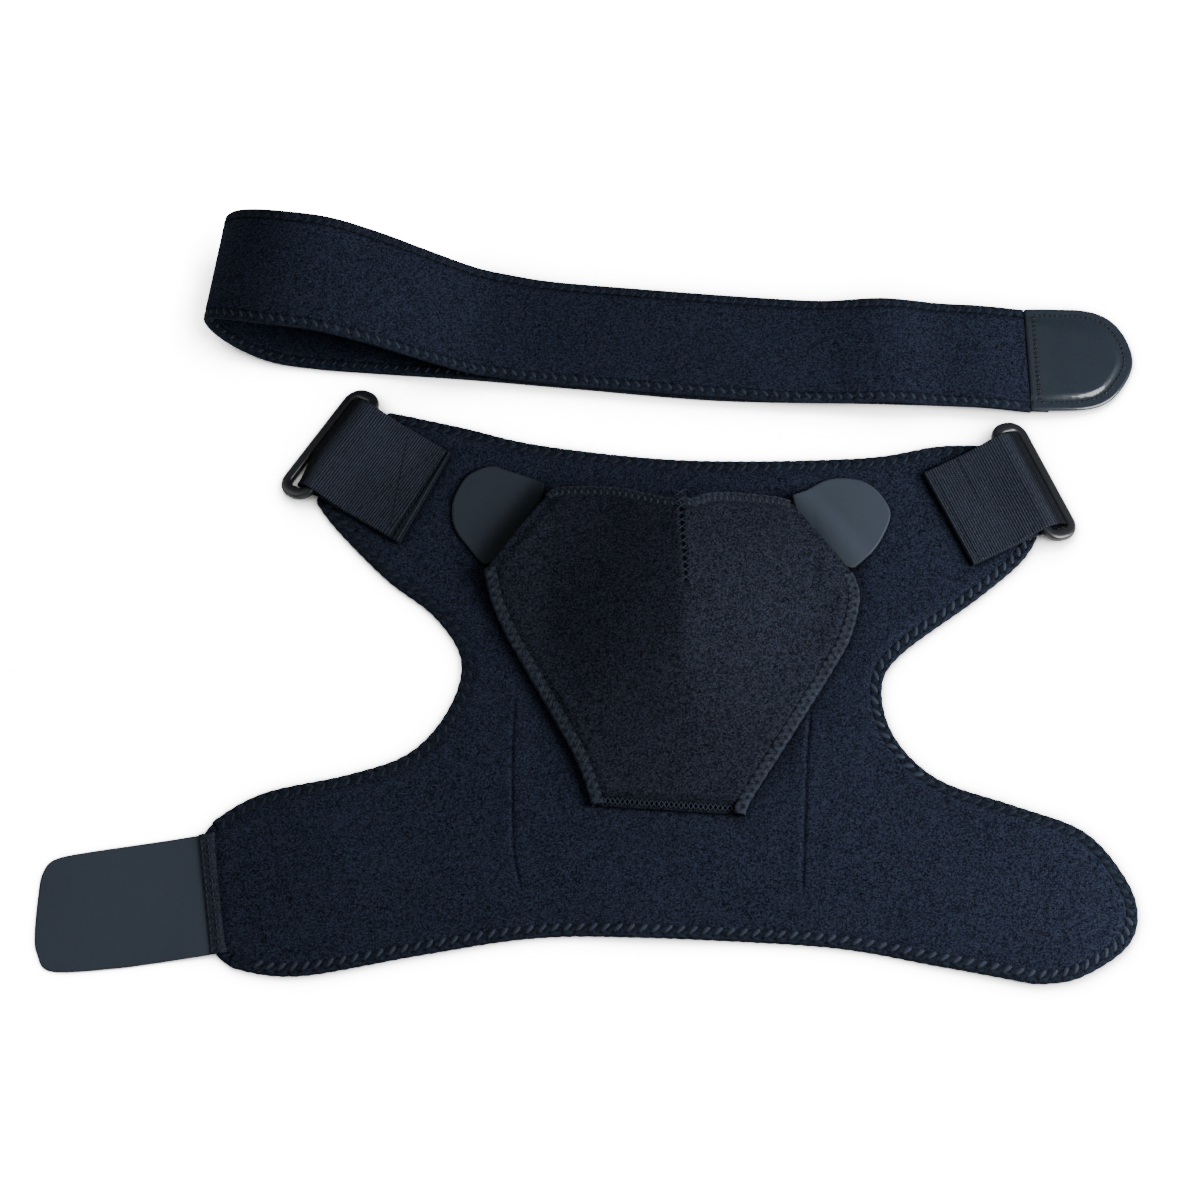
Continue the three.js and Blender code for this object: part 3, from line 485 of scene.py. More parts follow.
tapeSet = dict(fold=6.0, thick=0.55, step=0.7, pitch=5.9, inner=6.6, outer=2.2, lean=-4.4, threadWidth=2.9,
               dip=0.55, valley=0.9, scallop=0.12, plump=0.16, proud=0.62, hole=0.85, wedgeShade=0.8)
dotted = dict(tapeSet, pitch=4.5, inner=5.0, outer=2.5, lean=2.25, threadWidth=0.6, valley=0.55, dip=0.3,
              proud=0.36, hole=1.05, wedgeShade=0)
beaded = dict(tapeSet, pitch=3.4, inner=5.2, outer=2.4, lean=1.1, threadWidth=1.5, valley=0.7, dip=0.4,
              proud=0.5, hole=0.8, wedgeShade=0.6)


def tapeSection(high):  # depth from the edge and height, round the folded tape
    fold, thick = tapeSet["fold"], tapeSet["thick"]
    outside = [(fold, 0.0), (3.0, 0.0), (1.3, 0.05), (0.45, 0.35), (0.08, 0.95), (0.0, high * 0.5),
               (0.08, high - 0.95), (0.45, high - 0.35), (1.2, high - 0.06), (1.9, high), (2.7, high),
               (3.5, high), (4.3, high), (5.2, high - 0.02), (fold, high - 0.12)]
    inside = [(fold, high - thick), (1.5, high - thick), (thick + 0.1, high - 1.2), (thick + 0.1, 1.2),
              (1.5, thick), (fold, thick)]
    return np.array(outside + inside)


def offStitch(at, depth, facts):  # distance along the edge to the nearest slanting thread
    share = (at - facts["lean"] * (depth - facts["outer"]) / (facts["inner"] - facts["outer"])) / facts["pitch"]
    return (share - np.round(share)) * facts["pitch"]


def pinched(at, depth, facts):  # how far a thread pulls the tape down, 0 to 1
    held = eased((depth - facts["outer"] + 0.9) / 0.9) * eased((facts["inner"] + 0.9 - depth) / 0.9)
    return held * np.exp(-(offStitch(at, depth, facts) / facts["valley"]) ** 2)


def needleHoleShade(at, depth, facts):  # painted shade: dark where the thread goes into the cloth and in the wedges between the puffs
    total = 0
    for hole in (facts["outer"] - 0.3, facts["inner"] + 0.3):
        gap = np.hypot(offStitch(at, np.full_like(at, hole), facts), depth - hole)
        total = total + np.exp(-(gap / facts["hole"]) ** 2)
    between = np.abs(offStitch(at, np.full_like(at, depth), facts)) - facts["pitch"] / 2
    held = facts["outer"] < depth < facts["inner"] + 0.6
    return total + held * facts["wedgeShade"] * np.exp(-(between / 0.6) ** 2)


def tapeAlong(name, run, high, lift, facts=tapeSet, cloth="edgeTape"):
    inward = inwardOf(run, False)
    lengths = along(run)
    section = tapeSection(high)
    rows = np.zeros((len(run), len(section), 3))
    paintedShades = np.zeros((len(run), len(section)))
    for j, (depth, height) in enumerate(section):
        edge = tapeSet["scallop"] * (1 + np.cos(2 * pi * lengths / tapeSet["pitch"])) * (depth < 0.5)
        flat = run + inward * (depth + edge)[:, None]
        z = lift(flat[:, 0], flat[:, 1]) + height
        if 7 <= j <= 14:  # the upper face, which the threads pull in
            pull = pinched(lengths, depth, facts)
            z += tapeSet["plump"] - facts["dip"] * pull
            # painted shade at the needle holes
            paintedShades[:, j] = 0.92 * needleHoleShade(lengths, depth, facts)
        rows[:, j] = np.column_stack([flat, z])
    points, faces = sweepRows(rows)
    return makePiece(name, points, faces, materials[cloth], paintedShade=paintedShades)


def tapeStitches(run, high, lift, facts=tapeSet, skip=1.5):  # one visible slanting thread a stitch
    inward, lengths = inwardOf(run, False), along(run)
    first = np.ceil(skip / facts["pitch"])
    starts = np.arange(first, int((lengths[-1] - skip) / facts["pitch"])) * facts["pitch"]
    ends = []
    for depth, shift in ((facts["outer"], 0), (facts["inner"], facts["lean"])):
        point, side = (readAt(starts + shift, lengths, values) for values in (run, inward))
        flat = point + side / np.linalg.norm(side, axis=1)[:, None] * depth
        height = lift(flat[:, 0], flat[:, 1]) + high + facts["proud"] - facts["threadWidth"] / 2
        ends.append(np.column_stack([flat, height]))
    return list(zip(*ends))


wrapSet = dict(length=446, depth=308, thick=4.0, spacing=3.0, cornerPasses=10, ripple=0.16, tapeHigh=3.45,
               jointGap=7, dartDeep=0.8, dartRidge=0.6, dartWide=4.5)
collarRows = [(-0.318, 0.494), (-0.231, 0.464), (-0.135, 0.429), (0.031, 0.402), (0.226, 0.406), (0.314, 0.428),
              (0.369, 0.43)]
rightRows = [(0.425, 0.262), (0.403, 0.214), (0.35, 0.147), (0.261, 0.048), (0.239, -0.013), (0.251, -0.095),
             (0.296, -0.165), (0.377, -0.21), (0.449, -0.253), (0.489, -0.329), (0.499, -0.392), (0.482, -0.444),
             (0.43, -0.49), (0.385, -0.499)]
lowerRows = [(0.385, -0.499), (0.285, -0.47), (0.165, -0.439), (-0.028, -0.425), (-0.141, -0.425), (-0.261, -0.452),
             (-0.386, -0.485), (-0.454, -0.474), (-0.479, -0.451)]
leftRows = [(-0.5, -0.257), (-0.486, -0.231), (-0.435, -0.187), (-0.344, -0.156), (-0.279, -0.119), (-0.238, -0.044),
            (-0.226, 0.04), (-0.257, 0.117), (-0.312, 0.183), (-0.371, 0.275), (-0.397, 0.328)]
swellRows = [(-0.37, -0.33, 62, 1.6), (0.39, -0.36, 78, 2.2), (-0.02, -0.43, 56, 1.2)]
dartLeft = [(-73.6, -7.0), (-74.6, -37.5), (-74.2, -67.0), (-73.2, -89.0), (-71.0, -100.6), (-69.0, -108.8)]
dartRight = [(71.0, -15.7), (68.6, -37.5), (66.6, -67.0), (64.8, -96.2), (63.8, -111.0)]


def wrapLift(x, y):
    height = 0
    for share, across, reach, rise in swellRows:
        height = height + swell(x, y, (share * wrapSet["length"], across * wrapSet["depth"]), reach, rise)
    return height


wrapRuns = [runFrom(rows, wrapSet["length"], wrapSet["depth"])
            for rows in (leftRows, collarRows, rightRows, lowerRows)]
jointTop, jointBottom = wrapRuns[0][0], wrapRuns[3][-1]
wrapOutline = resample(np.vstack(wrapRuns), 1.1, True)
wrapOutline = soften(wrapOutline, wrapSet["cornerPasses"])
wrapPlan, wrapFaces = sheetPlan(wrapOutline + inwardOf(wrapOutline) * 0.6, wrapSet["spacing"],
                                [splineThrough(dartLeft), splineThrough(dartRight)])
wrapDepthIn = distanceTo(wrapPlan, wrapOutline, True)


def dartRelief(x, y):  # a sewn valley with a soft ridge on its light side
    total = 0
    for line in (dartLeft, dartRight):
        curve = splineThrough(line)
        flat = np.column_stack([x, y])
        gap = distanceTo(flat, curve)
        nearest = np.abs(flat[:, None, 1] - curve[None, ::6, 1]).argmin(axis=1) * 6
        side = x - curve[np.minimum(nearest, len(curve) - 1), 0]
        ends = np.minimum(eased((flat[:, 1] - curve[-1, 1] + 2) / 8), eased((curve[0, 1] + 2 - flat[:, 1]) / 8))
        valley = -wrapSet["dartDeep"] * np.exp(-(gap / 0.65) ** 2)
        ridge = wrapSet["dartRidge"] * np.exp(-((side + 2.6) / wrapSet["dartWide"] * 1.8) ** 2)
        ridge = ridge + 0.45 * wrapSet["dartRidge"] * np.exp(-((side - 3.0) / wrapSet["dartWide"] * 1.8) ** 2)
        total = total + (valley + ridge * (gap < 20)) * ends
    return total


def panelTop(depth, thick):  # pressed under the tape, plump just past it
    under = thick - 0.95 + 0.35 * eased((depth - 4.8) / 1.4)
    rise = eased((depth - 5.8) / 2.6)
    plump = 0.35 * np.exp(-((depth - 8.8) / 2.4) ** 2)
    return (under + (thick - under) * rise + plump) * (0.5 + 0.5 * rounded(depth - 0.6, 1.2))


wrapTop = wrapLift(*wrapPlan.T) + panelTop(wrapDepthIn, wrapSet["thick"]) + dartRelief(*wrapPlan.T)
wrapTop = wrapTop + wrapSet["ripple"] * ripple(wrapPlan[:, 0], wrapPlan[:, 1], 60, 3) * eased((wrapDepthIn - 6) / 12)
wrapBottom = wrapLift(*wrapPlan.T) + 0.05 + 1.0 * (1 - rounded(wrapDepthIn - 0.6, 1.4))
wrapPanel = makePiece("wrapPanel", *closeSheet(wrapPlan, wrapFaces, wrapTop, wrapBottom), materials["loopPile"])

startAt = int(np.linalg.norm(wrapOutline - jointTop, axis=1).argmin())
wrapLoop = np.roll(wrapOutline, -startAt, axis=0)
endAt = int(np.linalg.norm(wrapLoop - jointBottom, axis=1).argmin())
tapeRun = resample(wrapLoop[wrapSet["jointGap"]:endAt - wrapSet["jointGap"]], tapeSet["step"])
wrapBinding = tapeAlong("wrapBinding", tapeRun, wrapSet["tapeHigh"], wrapLift)
wrapPairs = tapeStitches(tapeRun, wrapSet["tapeHigh"], wrapLift)


def takesLitThread(pair):  # stitches on the lower and right edges get the lighter thread, a painted highlight; the others get the darker copy, painted shade
    (x, y, _), (_, innerY, _) = pair
    return y < -125 or (innerY - y > -0.5 and x > 95 and y > -60)


lowerPairs = [pair for pair in wrapPairs if takesLitThread(pair)]
upperPairs = [pair for pair in wrapPairs if not takesLitThread(pair)]
wrapStitches = sewStitches("wrapStitches", lowerPairs, tapeSet["threadWidth"])
# the upper stitches take the darker thread, painted shade
wrapTopStitches = sewStitches("wrapTopStitches", upperPairs, tapeSet["threadWidth"] - 0.3, "shadedThread")
print("wrap", len(wrapPlan), "points")


armSet = dict(length=76, sheet=1.5, round=0.7, climb=1.2, climbReach=28, spacing=2.6)
armRows = [(-0.66, -0.282), (-0.91, -0.295), (-0.985, -0.318), (-1, -0.354), (-1, -0.416), (-0.975, -0.448),
           (-0.87, -0.477), (-0.44, -0.471)]
armRun = runFrom(armRows, armSet["length"], wrapSet["depth"], (-wrapSet["length"] / 2, 0))
armOutline = np.vstack([armRun[::-1], jointTop - (0.35, 0), jointBottom - (0.35, 0)])
armOutline = soften(resample(armOutline, 1.0, True), 3)
armPlan, armFaces = sheetPlan(armOutline, armSet["spacing"])
armDepthIn = distanceTo(armPlan, armOutline, True)
armEdge = rounded(armDepthIn, armSet["round"])
armClimb = armSet["climb"] * eased((armPlan[:, 0] - jointBottom[0] + armSet["climbReach"]) / armSet["climbReach"])
armTop = armClimb + armSet["sheet"] * (0.5 + 0.5 * armEdge) + 0.1 * ripple(armPlan[:, 0], armPlan[:, 1], 45, 5)
armTab = makePiece("armTab", *closeSheet(armPlan, armFaces, armTop, armClimb + 0.02 + 0.7 * (1 - armEdge)),
                   materials["hookSheet"])

jointLine = resample(np.vstack([jointBottom, jointTop]), 1.2)
jointSide = inwardOf(jointLine, False)
stripSection = [(-1.5, 2.82), (-0.9, 2.84), (-0.3, 2.86), (0.35, 2.9), (3.0, 2.95), (6.4, 2.9), (6.7, 3.2), (6.4, 3.5),
                (5.2, 3.56), (4.0, 3.56), (3.0, 3.5), (2.2, 3.46), (1.4, 3.42), (0.6, 3.36), (-0.2, 3.28), (-0.9, 3.17),
                (-1.5, 2.95)]
stripRows = np.zeros((len(jointLine), len(stripSection), 3))
stripPaintedShade = np.zeros((len(jointLine), len(stripSection)))
for j, (depth, height) in enumerate(stripSection):
    quilted = depth < 3.6 and height > 3.0
    quilt = np.cos(2 * pi * (along(jointLine) / 3.4 + depth / 3.0))
    stripRows[:, j] = np.column_stack([jointLine + jointSide * depth, height + 0.12 * quilt * quilted])
    # painted shade in the quilting's dimples
    stripPaintedShade[:, j] = quilted * (0.28 - 0.28 * quilt)
armStrip = makePiece("armStrip", *sweepRows(stripRows), materials["capTape"], paintedShade=stripPaintedShade)
stripStitches = []
for depth, height in ((-0.4, 3.26), (2.8, 3.5)):
    stripStitches += dashesAlong(jointLine + jointSide * depth, lambda x, y: np.full(len(x), height), 2.3, 1.1)
armStitches = sewStitches("armStitches", stripStitches, 0.8)
print("arm tab")


capSet = dict(width=188, height=172, middle=(4, 15), thick=3.8, dome=13, pinch=15.0, cornerRise=7, cornerReach=54,
              dart=0.026, domeTop=0.2, fall=0.3, fullness=1.4, foot=0.25, spread=0.27, spacing=2.1, base=4.35,
              tapeHigh=3.25, tent=66)
capTopRows = [(-0.34, 0.483), (-0.315, 0.508), (-0.245, 0.506), (-0.149, 0.486), (-0.069, 0.453), (-0.005, 0.427),
              (0.048, 0.425), (0.085, 0.445), (0.149, 0.46), (0.266, 0.463), (0.319, 0.453)]
capRightRows = [(0.479, 0.238), (0.496, 0.169), (0.473, 0.058), (0.431, -0.035), (0.303, -0.267), (0.197, -0.453),
                (0.181, -0.5)]
capLeftRows = [(-0.213, -0.471), (-0.234, -0.395), (-0.271, -0.297), (-0.388, -0.058), (-0.436, 0.041),
               (-0.479, 0.151), (-0.5, 0.25)]
capCornerRows = [(-0.42, 0.367), (0.4, 0.346)]


def onCap(rows):
    return np.array(rows) * (capSet["width"], capSet["height"]) + capSet["middle"]


def capLift(x, y):
    share = (x - capSet["middle"][0]) / capSet["width"] - capSet["dart"]
    across = (y - capSet["middle"][1]) / capSet["height"]
    up = np.clip((across + 0.5) / (capSet["domeTop"] + 0.5), 0, 1)
    aside = np.minimum(1, np.abs(share) / (capSet["foot"] + capSet["spread"] * up))
    fall = 1 - capSet["fall"] * eased((across - capSet["domeTop"]) / (0.5 - capSet["domeTop"]))
    dome = capSet["dome"] * np.sin(pi / 2 * up) ** capSet["fullness"] * fall * (1 - aside ** 2) ** 2
    near = np.maximum(0, 1 - np.hypot(share * capSet["width"], 1.5) / capSet["tent"])  # a tent over the dart
    pinch = capSet["pinch"] * near * eased((across + 0.42) / 0.62)
    corners = sum(swell(x, y, corner, capSet["cornerReach"], capSet["cornerRise"]) for corner in onCap(capCornerRows))
    return capSet["base"] + dome + pinch + corners


capRuns = [runFrom(rows, capSet["width"], capSet["height"], capSet["middle"])
           for rows in (capTopRows, capRightRows, capLeftRows)]
capOutline = soften(resample(np.vstack(capRuns), 1.1, True), 5)
capDart = np.array([(7.8, 94.0), (8.2, 70.0), (10.0, 38.0)])
capPlan, capFaces = sheetPlan(capOutline + inwardOf(capOutline) * 0.6, capSet["spacing"], [splineThrough(capDart)])
capDepthIn = distanceTo(capPlan, capOutline, True)
bottomEdge = np.vstack([capRuns[1][-1], capRuns[2][0]])


def capRelief(x, y):
    flat = np.column_stack([x, y])
    gap = distanceTo(flat, capDart)
    seam = -0.7 * np.exp(-(gap / 0.9) ** 2) + 0.35 * np.exp(-((gap - 2.4) / 1.4) ** 2)
    ends = eased((y - 36) / 6)
    sewn = -2.3 * (1 - eased((distanceTo(flat, bottomEdge) - 2.5) / 6))
    return seam * ends + sewn


capTop = capLift(*capPlan.T) + np.maximum(0.6, panelTop(capDepthIn, capSet["thick"]) + capRelief(*capPlan.T))
capTop = capTop + 0.14 * ripple(capPlan[:, 0], capPlan[:, 1], 38, 8) * eased((capDepthIn - 6) / 10)
dartGap = distanceTo(capPlan, capDart)
# painted shade in the dart's valley and along the stitched row above the bottom edge
capPaintedShade = 0.8 * np.exp(-(dartGap / 1.1) ** 2) * eased((capPlan[:, 1] - 36) / 4)
capPaintedShade = capPaintedShade + 0.45 * np.exp(-((distanceTo(capPlan, bottomEdge) - 3.4) / 1.8) ** 2)
capBottom = capLift(*capPlan.T) + 0.05 + 0.9 * (1 - rounded(capDepthIn - 0.6, 1.4))
capPanel = makePiece("capPanel", *closeSheet(capPlan, capFaces, capTop, capBottom), materials["capPile"],
                     paintedShade=np.concatenate([capPaintedShade, np.zeros(len(capPlan))]))
capBindings, capPairs = [], []
for label, run in zip(("Top", "Right", "Left"), capRuns):
    fine = resample(run, tapeSet["step"])
    seam = beaded if label == "Top" else dotted
    capBindings.append(tapeAlong("capBinding" + label, fine, capSet["tapeHigh"], capLift, seam, "capTape"))
    if label == "Top":
        capPuffs = tapeStitches(fine, capSet["tapeHigh"], capLift, beaded)
    else:
        capPairs += tapeStitches(fine, capSet["tapeHigh"] + 0.1, capLift, dotted)


def capSkin(x, y):
    return capLift(x, y) + capSet["thick"] + capRelief(x, y) - 0.05


dartRun = resample(splineThrough(capDart), 1.0)
for half in (-2.9, 2.9):
    capPairs += zigzagOver(dartRun, capSkin, half, 8.4, 2)
bottomRun = resample(bottomEdge + (0, 3.4), 1.0)


def bottomSkin(x, y):
    gap = distanceTo(np.column_stack([x, y]), bottomEdge)
    return capLift(x, y) + np.maximum(0.6, panelTop(gap, capSet["thick"]) + capRelief(x, y)) + 0.1


for half in (-1.7, 1.7):
    capPairs += zigzagOver(bottomRun, bottomSkin, half, 5.0, 3)
capStitches = sewStitches("capStitches", capPairs, dotted["threadWidth"])
capRimStitches = sewStitches("capRimStitches", capPuffs, beaded["threadWidth"])
print("cap", len(capPlan), "points")


# shade, shadeReach: painted shade on each tab along the cap's rim, where the rim shades it
tabSet = dict(sheet=1.2, tuck=4.0, spacing=1.8, round=0.6, shade=0.5, shadeReach=9.0)
leftTabRows = [(-0.5, 0.273), (-0.537, 0.326), (-0.58, 0.395), (-0.59, 0.465), (-0.58, 0.517), (-0.553, 0.57),
               (-0.521, 0.593), (-0.484, 0.605), (-0.436, 0.587), (-0.378, 0.564), (-0.34, 0.535)]
rightTabRows = [(0.324, 0.483), (0.367, 0.523), (0.42, 0.558), (0.479, 0.564), (0.532, 0.547), (0.569, 0.506),
                (0.59, 0.448), (0.574, 0.39), (0.543, 0.331), (0.484, 0.256)]
leftFoldRows = [(-0.383, 0.564), (-0.511, 0.337)]
rightFoldRows = [(0.4, 0.52), (0.56, 0.31)]


def capTab(name, rows, foldRows, root, wholeTabShade):
    outline = runFrom(rows, capSet["width"], capSet["height"], capSet["middle"])
    inside = (root[1] - root[0]) / np.linalg.norm(root[1] - root[0])
    tuck = np.array([inside[1], -inside[0]]) * tabSet["tuck"]
    corners = [root[1] + (root[0] - root[1]) * share + tuck for share in (0.18, 0.82)]
    outline = soften(resample(np.vstack([outline, *corners]), 0.9, True), 2)
    foldStart, foldEnd = onCap(foldRows)
    heading = (foldEnd - foldStart) / np.linalg.norm(foldEnd - foldStart)
    climb = tuck / np.linalg.norm(tuck)
    reach = ((root[0] + root[1]) / 2 - foldStart) @ climb
    plan, faces = sheetPlan(outline, tabSet["spacing"])
    depthIn = distanceTo(plan, outline, True)
    share = eased((((plan - foldStart) - ((plan - foldStart) @ heading)[:, None] * heading) @ climb) / (reach - 1))
    rest = capSet["base"]
    base = rest + share * (capLift(*plan.T) + 0.6 - 0.15 - tabSet["sheet"] - rest)
    edge = rounded(depthIn, tabSet["round"])
    top = base + tabSet["sheet"] * (0.5 + 0.5 * edge) + 0.05 * ripple(plan[:, 0], plan[:, 1], 30, 2)
    points, made = closeSheet(plan, faces, top, base + 0.5 * tabSet["sheet"] * (1 - edge))
    # painted shade: a share over the whole tab, for the left tab that faces away from the lamp, and more near the cap's
    # rim
    rimGap = distanceTo(plan, np.vstack(root))
    paintedShade = wholeTabShade + tabSet["shade"] * np.exp(-(rimGap / tabSet["shadeReach"]) ** 2)
    return makePiece(name, points, made, materials["hookSheet"], paintedShade=np.concatenate([paintedShade, paintedShade]))


leftRoot, rightRoot = (capRuns[2][-1], capRuns[0][0]), (capRuns[0][-1], capRuns[1][0])
capTabLeft = capTab("capTabLeft", leftTabRows, leftFoldRows, leftRoot, 0.36)
capTabRight = capTab("capTabRight", rightTabRows, rightFoldRows, rightRoot, 0)
print("cap tabs")


ringSet = dict(length=71.5, width=20.5, barWide=5.2, barThick=4.2, endBar=6.2, corner=6.0, hingeHeight=6.6, sides=20)
webSet = dict(sheet=1.1, width=56.5, play=0.4, grip=30, ribPitch=1.36, ribDeep=0.14, step=0.26, across=2.2)
hingeSides = {
    "Left": dict(at=(-163.8, 128.0), facing=147.4, reach=51.5, skew=0.12, drift=0.0, nose=(0.7, 1.035), calm=22,
                 hem=0.6),
    "Right": dict(at=(181.6, 107.8), facing=22.3, reach=42.5, skew=0.02, drift=3.5, nose=(1.035, 1.035), calm=1,
                  hem=0.25),
}
noseRows = [(0, -1), (0.4, -1.1), (0.75, -1.1), (0.9, -0.9), (0.87, -0.45), (0.67, 0.25), (0.4, 0.73),
            (0.16, 0.97), (0, 1)]


def toHinge(points, side):  # outward is +Y before the turn
    turn = radians(hingeSides[side]["facing"] - 90)
    x, y, z = np.asarray(points).T
    flat = np.column_stack([x * cos(turn) - y * sin(turn), x * sin(turn) + y * cos(turn)])
    return np.column_stack([flat + hingeSides[side]["at"], z + ringSet["hingeHeight"]])


def slotRing(name, side):
    half, width = (ringSet["length"] - ringSet["endBar"]) / 2, ringSet["width"] - ringSet["barWide"]
    corner = ringSet["corner"]
    path = []
    for cx, cy, start in ((half - corner, corner, -90), (half - corner, width - corner, 0),
                          (-half + corner, width - corner, 90), (-half + corner, corner, 180)):
        for step in range(11):
            angle = radians(start + 9 * step)
            path.append((cx + corner * cos(angle), cy + corner * sin(angle)))
    path = resample(np.array(path), 1.2, True)[::-1]
    inward = inwardOf(path)
    angles = 2 * pi * (np.arange(ringSet["sides"]) + 0.5) / ringSet["sides"]
    # a squarish bar: flat faces with rounded corners
    across = np.sign(np.cos(angles)) * np.abs(np.cos(angles)) ** 0.7
    upward = np.sign(np.sin(angles)) * np.abs(np.sin(angles)) ** 0.6
    lean = -asin((ringSet["hingeHeight"] - ringSet["barThick"] / 2 - 0.175) / width)
    rows = np.zeros((len(path), ringSet["sides"], 3))
    for j in range(ringSet["sides"]):
        wide = ringSet["endBar"] + (ringSet["barWide"] - ringSet["endBar"]) * np.abs(inward[:, 1])
        flat = path + inward * (wide / 2 * across[j])[:, None]
        z = np.full(len(path), ringSet["barThick"] / 2 * upward[j])
        x, y = flat.T
        rows[:, j] = np.column_stack([x, y * cos(lean) - z * sin(lean), y * sin(lean) + z * cos(lean)])
    points, faces = sweepRows(rows, closedRun=True)
    return makePiece(name, toHinge(points, side), faces, materials["ringPlastic"])


def webbingPath(reach):  # middle of the webbing's thickness: under, round the slack nose, back over
    radius = ringSet["barWide"] / 2 + webSet["play"] + webSet["sheet"] / 2
    clear = ringSet["width"] - 1.5 * ringSet["barWide"]
    low = capSet["base"] - ringSet["hingeHeight"] + webSet["sheet"] / 2
    high = low + webSet["sheet"] + 0.35
    grip = radians(webSet["grip"])
    nose = [(out * clear, up * radius) for out, up in noseRows]
    back = radius + webSet["sheet"] / 2
    path = [(-reach, low), (-reach * 0.6, low), (-back - 6, low), (-back - 1.6, low),
            (-radius * sin(grip), -radius * cos(grip)), *nose, (-radius * sin(grip), radius * cos(grip)),
            (-back - 7, (high + radius) / 2 - 0.6), (-back - 13, high + 0.2), (-reach * 0.6, high), (-reach, high)]
    return resample(splineThrough(path, 12), webSet["step"])


def webbing(name, side):
    facts = hingeSides[side]
    path = webbingPath(facts["reach"])
    heading = np.gradient(path, axis=0)
    heading /= np.linalg.norm(heading, axis=1)[:, None]
    outward = np.column_stack([heading[:, 1], -heading[:, 0]])
    lengths = along(path)
    ribs = webSet["ribDeep"] * (np.abs(np.sin(pi * lengths / webSet["ribPitch"])) - 0.6)
    fromEnd = path[:, 0] + facts["reach"]
    above = path[:, 1] > -1.0
    ribs = ribs * np.where(above, 0.4 + 0.6 * eased(fromEnd / facts["calm"]), 1.0)
    hem = 0.7 * np.exp(-((fromEnd - 1.5) / 0.9) ** 2) - np.exp(-((fromEnd - 3.6) / 0.8) ** 2)
    hem = hem * facts["hem"] * (above & (fromEnd < 12))
    half, soft = webSet["sheet"] / 2, 0.45
    xs = np.linspace(-webSet["width"] / 2, webSet["width"] / 2, round(webSet["width"] / webSet["across"]) + 1)
    xs = np.concatenate([[xs[0], xs[0] + 0.25, xs[0] + 0.9], xs[1:-1], [xs[-1] - 0.9, xs[-1] - 0.25, xs[-1]]])
    edge = rounded(webSet["width"] / 2 - np.abs(xs), soft)
    upper = [(x, half * (0.35 + 0.65 * e), 1) for x, e in zip(xs, edge)]
    lower = [(x, -half * (0.35 + 0.65 * e), -1) for x, e in zip(xs[::-1], edge[::-1])]
    section = upper + lower
    rows = np.zeros((len(path), len(section), 3))
    uv = np.zeros((len(path), len(section), 2))
    paintedShades = np.zeros((len(path), len(section)))
    for j, (x, level, sign) in enumerate(section):
        offset = level + (sign * ribs + hem * (sign > 0)) * (abs(x) < webSet["width"] / 2 - 0.5)
        y = path[:, 0] + outward[:, 0] * offset
        z = path[:, 1] + outward[:, 1] * offset
        moved = x + facts["drift"] * np.maximum(0, -y / facts["reach"])
        near = np.clip((-y - facts["reach"] + 8) / 8, 0, 1)
        y = y + facts["skew"] * moved * near
        fullness = facts["nose"][0] + (facts["nose"][1] - facts["nose"][0]) * eased((x / webSet["width"] + 0.5) / 0.42)
        rows[:, j] = np.column_stack([moved, np.where(y > 0, y * fullness, y), z])
        uv[:, j] = np.column_stack([np.full(len(path), x), lengths])
        # painted shade: in the hem's groove, over the last calm millimetres of the upper layer, and in the slot round
        # the nose
        paintedShades[:, j] = facts["hem"] * np.exp(-((fromEnd - 3.6) / 0.6) ** 2) * above
        paintedShades[:, j] += 0.3 * (1 - eased(fromEnd / facts["calm"])) * above + 0.85 * eased((path[:, 0] - 4) / 4)
    points, faces = sweepRows(rows)
    return makePiece(name, toHinge(points, side), faces, materials["webbing"], uv.reshape(-1, 2) * 0.01, paintedShades)


ringLeft, ringRight = slotRing("slotRingLeft", "Left"), slotRing("slotRingRight", "Right")
webbingLeft, webbingRight = webbing("webbingLeft", "Left"), webbing("webbingRight", "Right")

webTop = capSet["base"] - ringSet["hingeHeight"] + 2 * webSet["sheet"] + 0.35


def webbingRows(side, lines):  # straight stitches drawn in the webbing's own place
    pairs = []
    for line in lines:
        facts = hingeSides[side]
        pts = []
        for x, share in line:
            pts.append((x, -facts["reach"] * share + facts["skew"] * x * share))
        line = resample(np.array(pts), 1.0)
        dashes = dashesAlong(line, lambda x, y: np.full(len(x), webTop + 0.1), 2.4, 0.9)
        pairs += [tuple(toHinge(np.array(pair), side)) for pair in dashes]
    return pairs


webStitches = webbingRows("Left", [[(-25.5, 0.93), (25.5, 0.93)], [(-24, 0.86), (24, 0.5)], [(-24, 0.5), (24, 0.86)]])
webStitches += webbingRows("Right", [[(-25.5, 0.93), (25.5, 0.93)], [(-26, 0.55), (8, 0.55)], [(8, 0.93), (8, 0.3)]])
webbingStitches = sewStitches("webbingStitches", webStitches, 0.4, "webThread")
print("rings and webbing")


